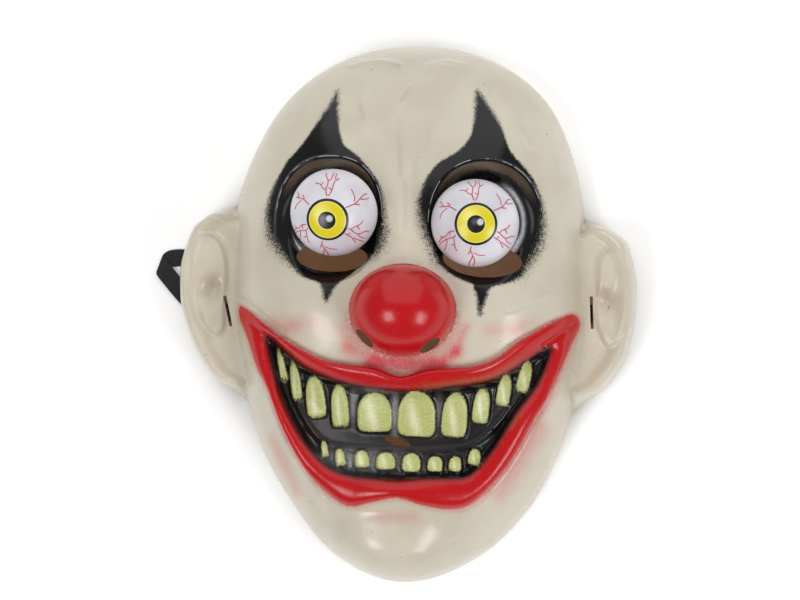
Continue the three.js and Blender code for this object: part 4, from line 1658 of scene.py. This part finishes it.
@dataclass
class Eyeball:
    """A hollow half-ball with a printed iris and veins."""

    side: Side
    edge: tuple[float, float, float]
    look: tuple[float, float]
    spin: float
    glint: float
    radius: float = 20.5
    wall: float = 1.2
    around: int = 72
    sharp_from: float = 50.0
    vein_radius: float = 0.24
    vein_sides: int = 6
    vein_lift: float = 0.02
    vein_low: float = 0.4

    def turn(self) -> Quaternion:
        """From straight out of the face to where the eye looks, with the print's spin.

        Returns:
            The rotation.
        """
        look = Vector((*self.look, math.sqrt(1 - self.look[0] ** 2 - self.look[1] ** 2)))
        return (Vector((0, 0, 1)).rotation_difference(look)
                @ Quaternion((0, 0, 1), math.radians(self.spin)))

    def place(self, points: np.ndarray) -> np.ndarray:
        """Puts points of the upright ball where the eye is."""
        return points @ np.array(self.turn().to_matrix()).T + np.array(self.edge)

    def ball(self) -> tuple[np.ndarray, np.ndarray]:
        """Draws the upright half-ball, down over the dome and back up inside it.

        Returns:
            Points, and four point numbers per face.
        """
        corner = np.linspace(0, np.pi, 5)[1:-1]
        middle = self.radius - self.wall / 2
        arc = np.linspace(np.pi / 2, 0, 27)
        outer = np.stack([self.radius * np.cos(arc), self.radius * np.sin(arc)], 1)
        outer[:, 1] = np.maximum(outer[:, 1], 0)
        edge = np.stack([middle + self.wall / 2 * np.cos(corner), 0 * corner], 1)
        inner_radius = self.radius - self.wall
        back = np.linspace(0, np.pi / 2, 15)
        inner = np.stack([inner_radius * np.cos(back), inner_radius * np.sin(back)], 1)
        profile = np.vstack([outer[1:], edge, inner[:-1]])
        angle = np.linspace(0, 2 * np.pi, self.around, endpoint=False)
        points = np.stack([profile[:, :1] * np.cos(angle), profile[:, :1] * np.sin(angle),
                           np.repeat(profile[:, 1:], self.around, 1)], -1).reshape(-1, 3)
        return points, ring_faces(len(profile), self.around)

    def build(self, printed: bpy.types.Material, ink: bpy.types.Material) -> None:
        """Makes the ball and its veins.

        Args:
            printed: The ball's finish.
            ink: The veins' finish.
        """
        points, quads = self.ball()
        top, bottom = len(points), len(points) + 1
        k = np.arange(self.around)
        after = (k + 1) % self.around
        last = len(points) - self.around
        caps = [[top, a, b] for a, b in zip(k.tolist(), after.tolist())]
        caps += [[bottom, last + b, last + a] for a, b in zip(k.tolist(), after.tolist())]
        points = np.vstack([points, [[0, 0, self.radius]], [[0, 0, self.radius - self.wall]]])
        name = f"eye_{self.side.value}"
        eye = mesh_object(name, self.place(points), quads.tolist() + caps)
        mesh = eye.data
        mesh.set_sharp_from_angle(angle=math.radians(self.sharp_from))
        flat = np.linalg.norm(points[:, :2], axis=1)
        polar = np.arctan2(flat, np.maximum(points[:, 2], 0))
        arc = polar * self.radius / np.maximum(flat, 1e-9)
        store(mesh, "print_x", points[:, 0] * arc)
        store(mesh, "print_y", points[:, 1] * arc)
        store(mesh, "glint_x", np.full(len(points), self.glint))
        mesh.materials.append(printed)
        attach(eye, BODY)
        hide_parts(f"eyeball_{self.side.value}")
        self.veins(ink)
        log.info("%s: ball and veins", name)

    def stroke(self, points: Line) -> np.ndarray:
        """A vein's points on the upright ball, from how the left eye shows them.

        Args:
            points: Its row of VEINS.

        Returns:
            One row per point.
        """
        seen = np.array(points, float) / 100
        out = np.column_stack([seen, np.sqrt(np.clip(1 - (seen**2).sum(1), 0, 1))])
        right, up, back = (np.array(v) for v in Studio().axes())
        world = out @ np.array([right, up, back])
        left = Eyeball(Side.LEFT, *EYES[Side.LEFT])
        upright = left.turn().to_matrix().inverted()
        return rounded(world @ np.array(upright).T * self.radius, 3, closed=False)

    def veins(self, ink: bpy.types.Material) -> None:
        """Draws the veins as thin raised lines of print, with Geometry Nodes.

        Args:
            ink: Their finish.
        """
        points, edges = [], []
        for line in VEINS:
            path = self.stroke(line)
            path *= (self.radius + self.vein_lift) / np.linalg.norm(path, axis=1, keepdims=True)
            path[:, 2] = np.maximum(path[:, 2], self.vein_low)
            base = len(points)
            points += self.place(path).tolist()
            edges += [(base + i, base + i + 1) for i in range(len(path) - 1)]
        veins = mesh_object(f"eye_veins_{self.side.value}", np.array(points), [], edges, smooth=False)
        modifier = veins.modifiers.new("lines", "NODES")
        modifier.node_group = LineTree(ink).build()
        for item in modifier.node_group.interface.items_tree:
            if item.name == "Radius":
                modifier[item.identifier] = self.vein_radius * METRES
            if item.name == "Sides":
                modifier[item.identifier] = self.vein_sides
        plain_copy(veins)
        veins.data.shade_smooth()
        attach(veins, BODY)


@dataclass
class LineTree:
    """A Geometry Nodes tree that turns edges into round tapering lines."""

    material: bpy.types.Material
    start_share: float = 1.1
    end_share: float = 0.75

    def build(self) -> bpy.types.NodeTree:
        """Makes the tree, with its radius and its sides as inputs.

        Returns:
            The tree.
        """
        tree = bpy.data.node_groups.new("round_lines", "GeometryNodeTree")
        tree.interface.new_socket("Geometry", in_out="INPUT", socket_type="NodeSocketGeometry")
        tree.interface.new_socket("Radius", in_out="INPUT", socket_type="NodeSocketFloat")
        tree.interface.new_socket("Sides", in_out="INPUT", socket_type="NodeSocketInt")
        tree.interface.new_socket("Geometry", in_out="OUTPUT", socket_type="NodeSocketGeometry")

        def add(kind: str, links: dict) -> bpy.types.Node:
            """Adds a node and links or sets its inputs.

            Args:
                kind: Its type.
                links: Sockets or values by its inputs.

            Returns:
                The node.
            """
            node = tree.nodes.new(kind)
            for key, value in links.items():
                if isinstance(value, bpy.types.NodeSocket):
                    tree.links.new(value, node.inputs[key])
                else:
                    node.inputs[key].default_value = value
            return node

        given = tree.nodes.new("NodeGroupInput").outputs
        curves = add("GeometryNodeMeshToCurve", {0: given["Geometry"]})
        along = add("GeometryNodeSplineParameter", {})
        taper = add("ShaderNodeMapRange", {"Value": along.outputs["Factor"], "To Min": self.start_share,
                                           "To Max": self.end_share})
        thin = add("GeometryNodeSetCurveRadius", {"Curve": curves.outputs[0], "Radius": taper.outputs[0]})
        ring = add("GeometryNodeCurvePrimitiveCircle",
                   {"Resolution": given["Sides"], "Radius": given["Radius"]})
        tube = add("GeometryNodeCurveToMesh", {"Curve": thin.outputs[0], "Profile Curve": ring.outputs[0],
                                               "Fill Caps": True})
        real = add("GeometryNodeRealizeInstances", {0: tube.outputs[0]})
        done = add("GeometryNodeSetMaterial", {"Geometry": real.outputs[0]})
        done.inputs["Material"].default_value = self.material
        output = tree.nodes.new("NodeGroupOutput")
        tree.links.new(done.outputs[0], output.inputs["Geometry"])
        return tree


def dress_stems(material: bpy.types.Material) -> None:
    """Gives the hidden stems their plastic.

    Args:
        material: The plastic.
    """
    for side in Side:
        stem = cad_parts[f"eye_post_{side.value}"]
        stem.data.materials.clear()
        stem.data.materials.append(material)
    log.info("eye posts: dressed")


def main() -> None:
    """Builds the scene."""
    logging.basicConfig(level=logging.INFO, format="%(name)s: %(message)s")
    Studio().build()
    Strap().build(WovenElastic().make())
    sheet = MaskSheet()
    sheet.build(PaintedSheet().make(sheet.form), BareSheet().make())
    printed, ink = PrintedBall().make(), VeinInk().make()
    for side, pose in EYES.items():
        Eyeball(side, *pose).build(printed, ink)
    dress_stems(PlainStem().make())


if __name__ == "__main__":
    main()
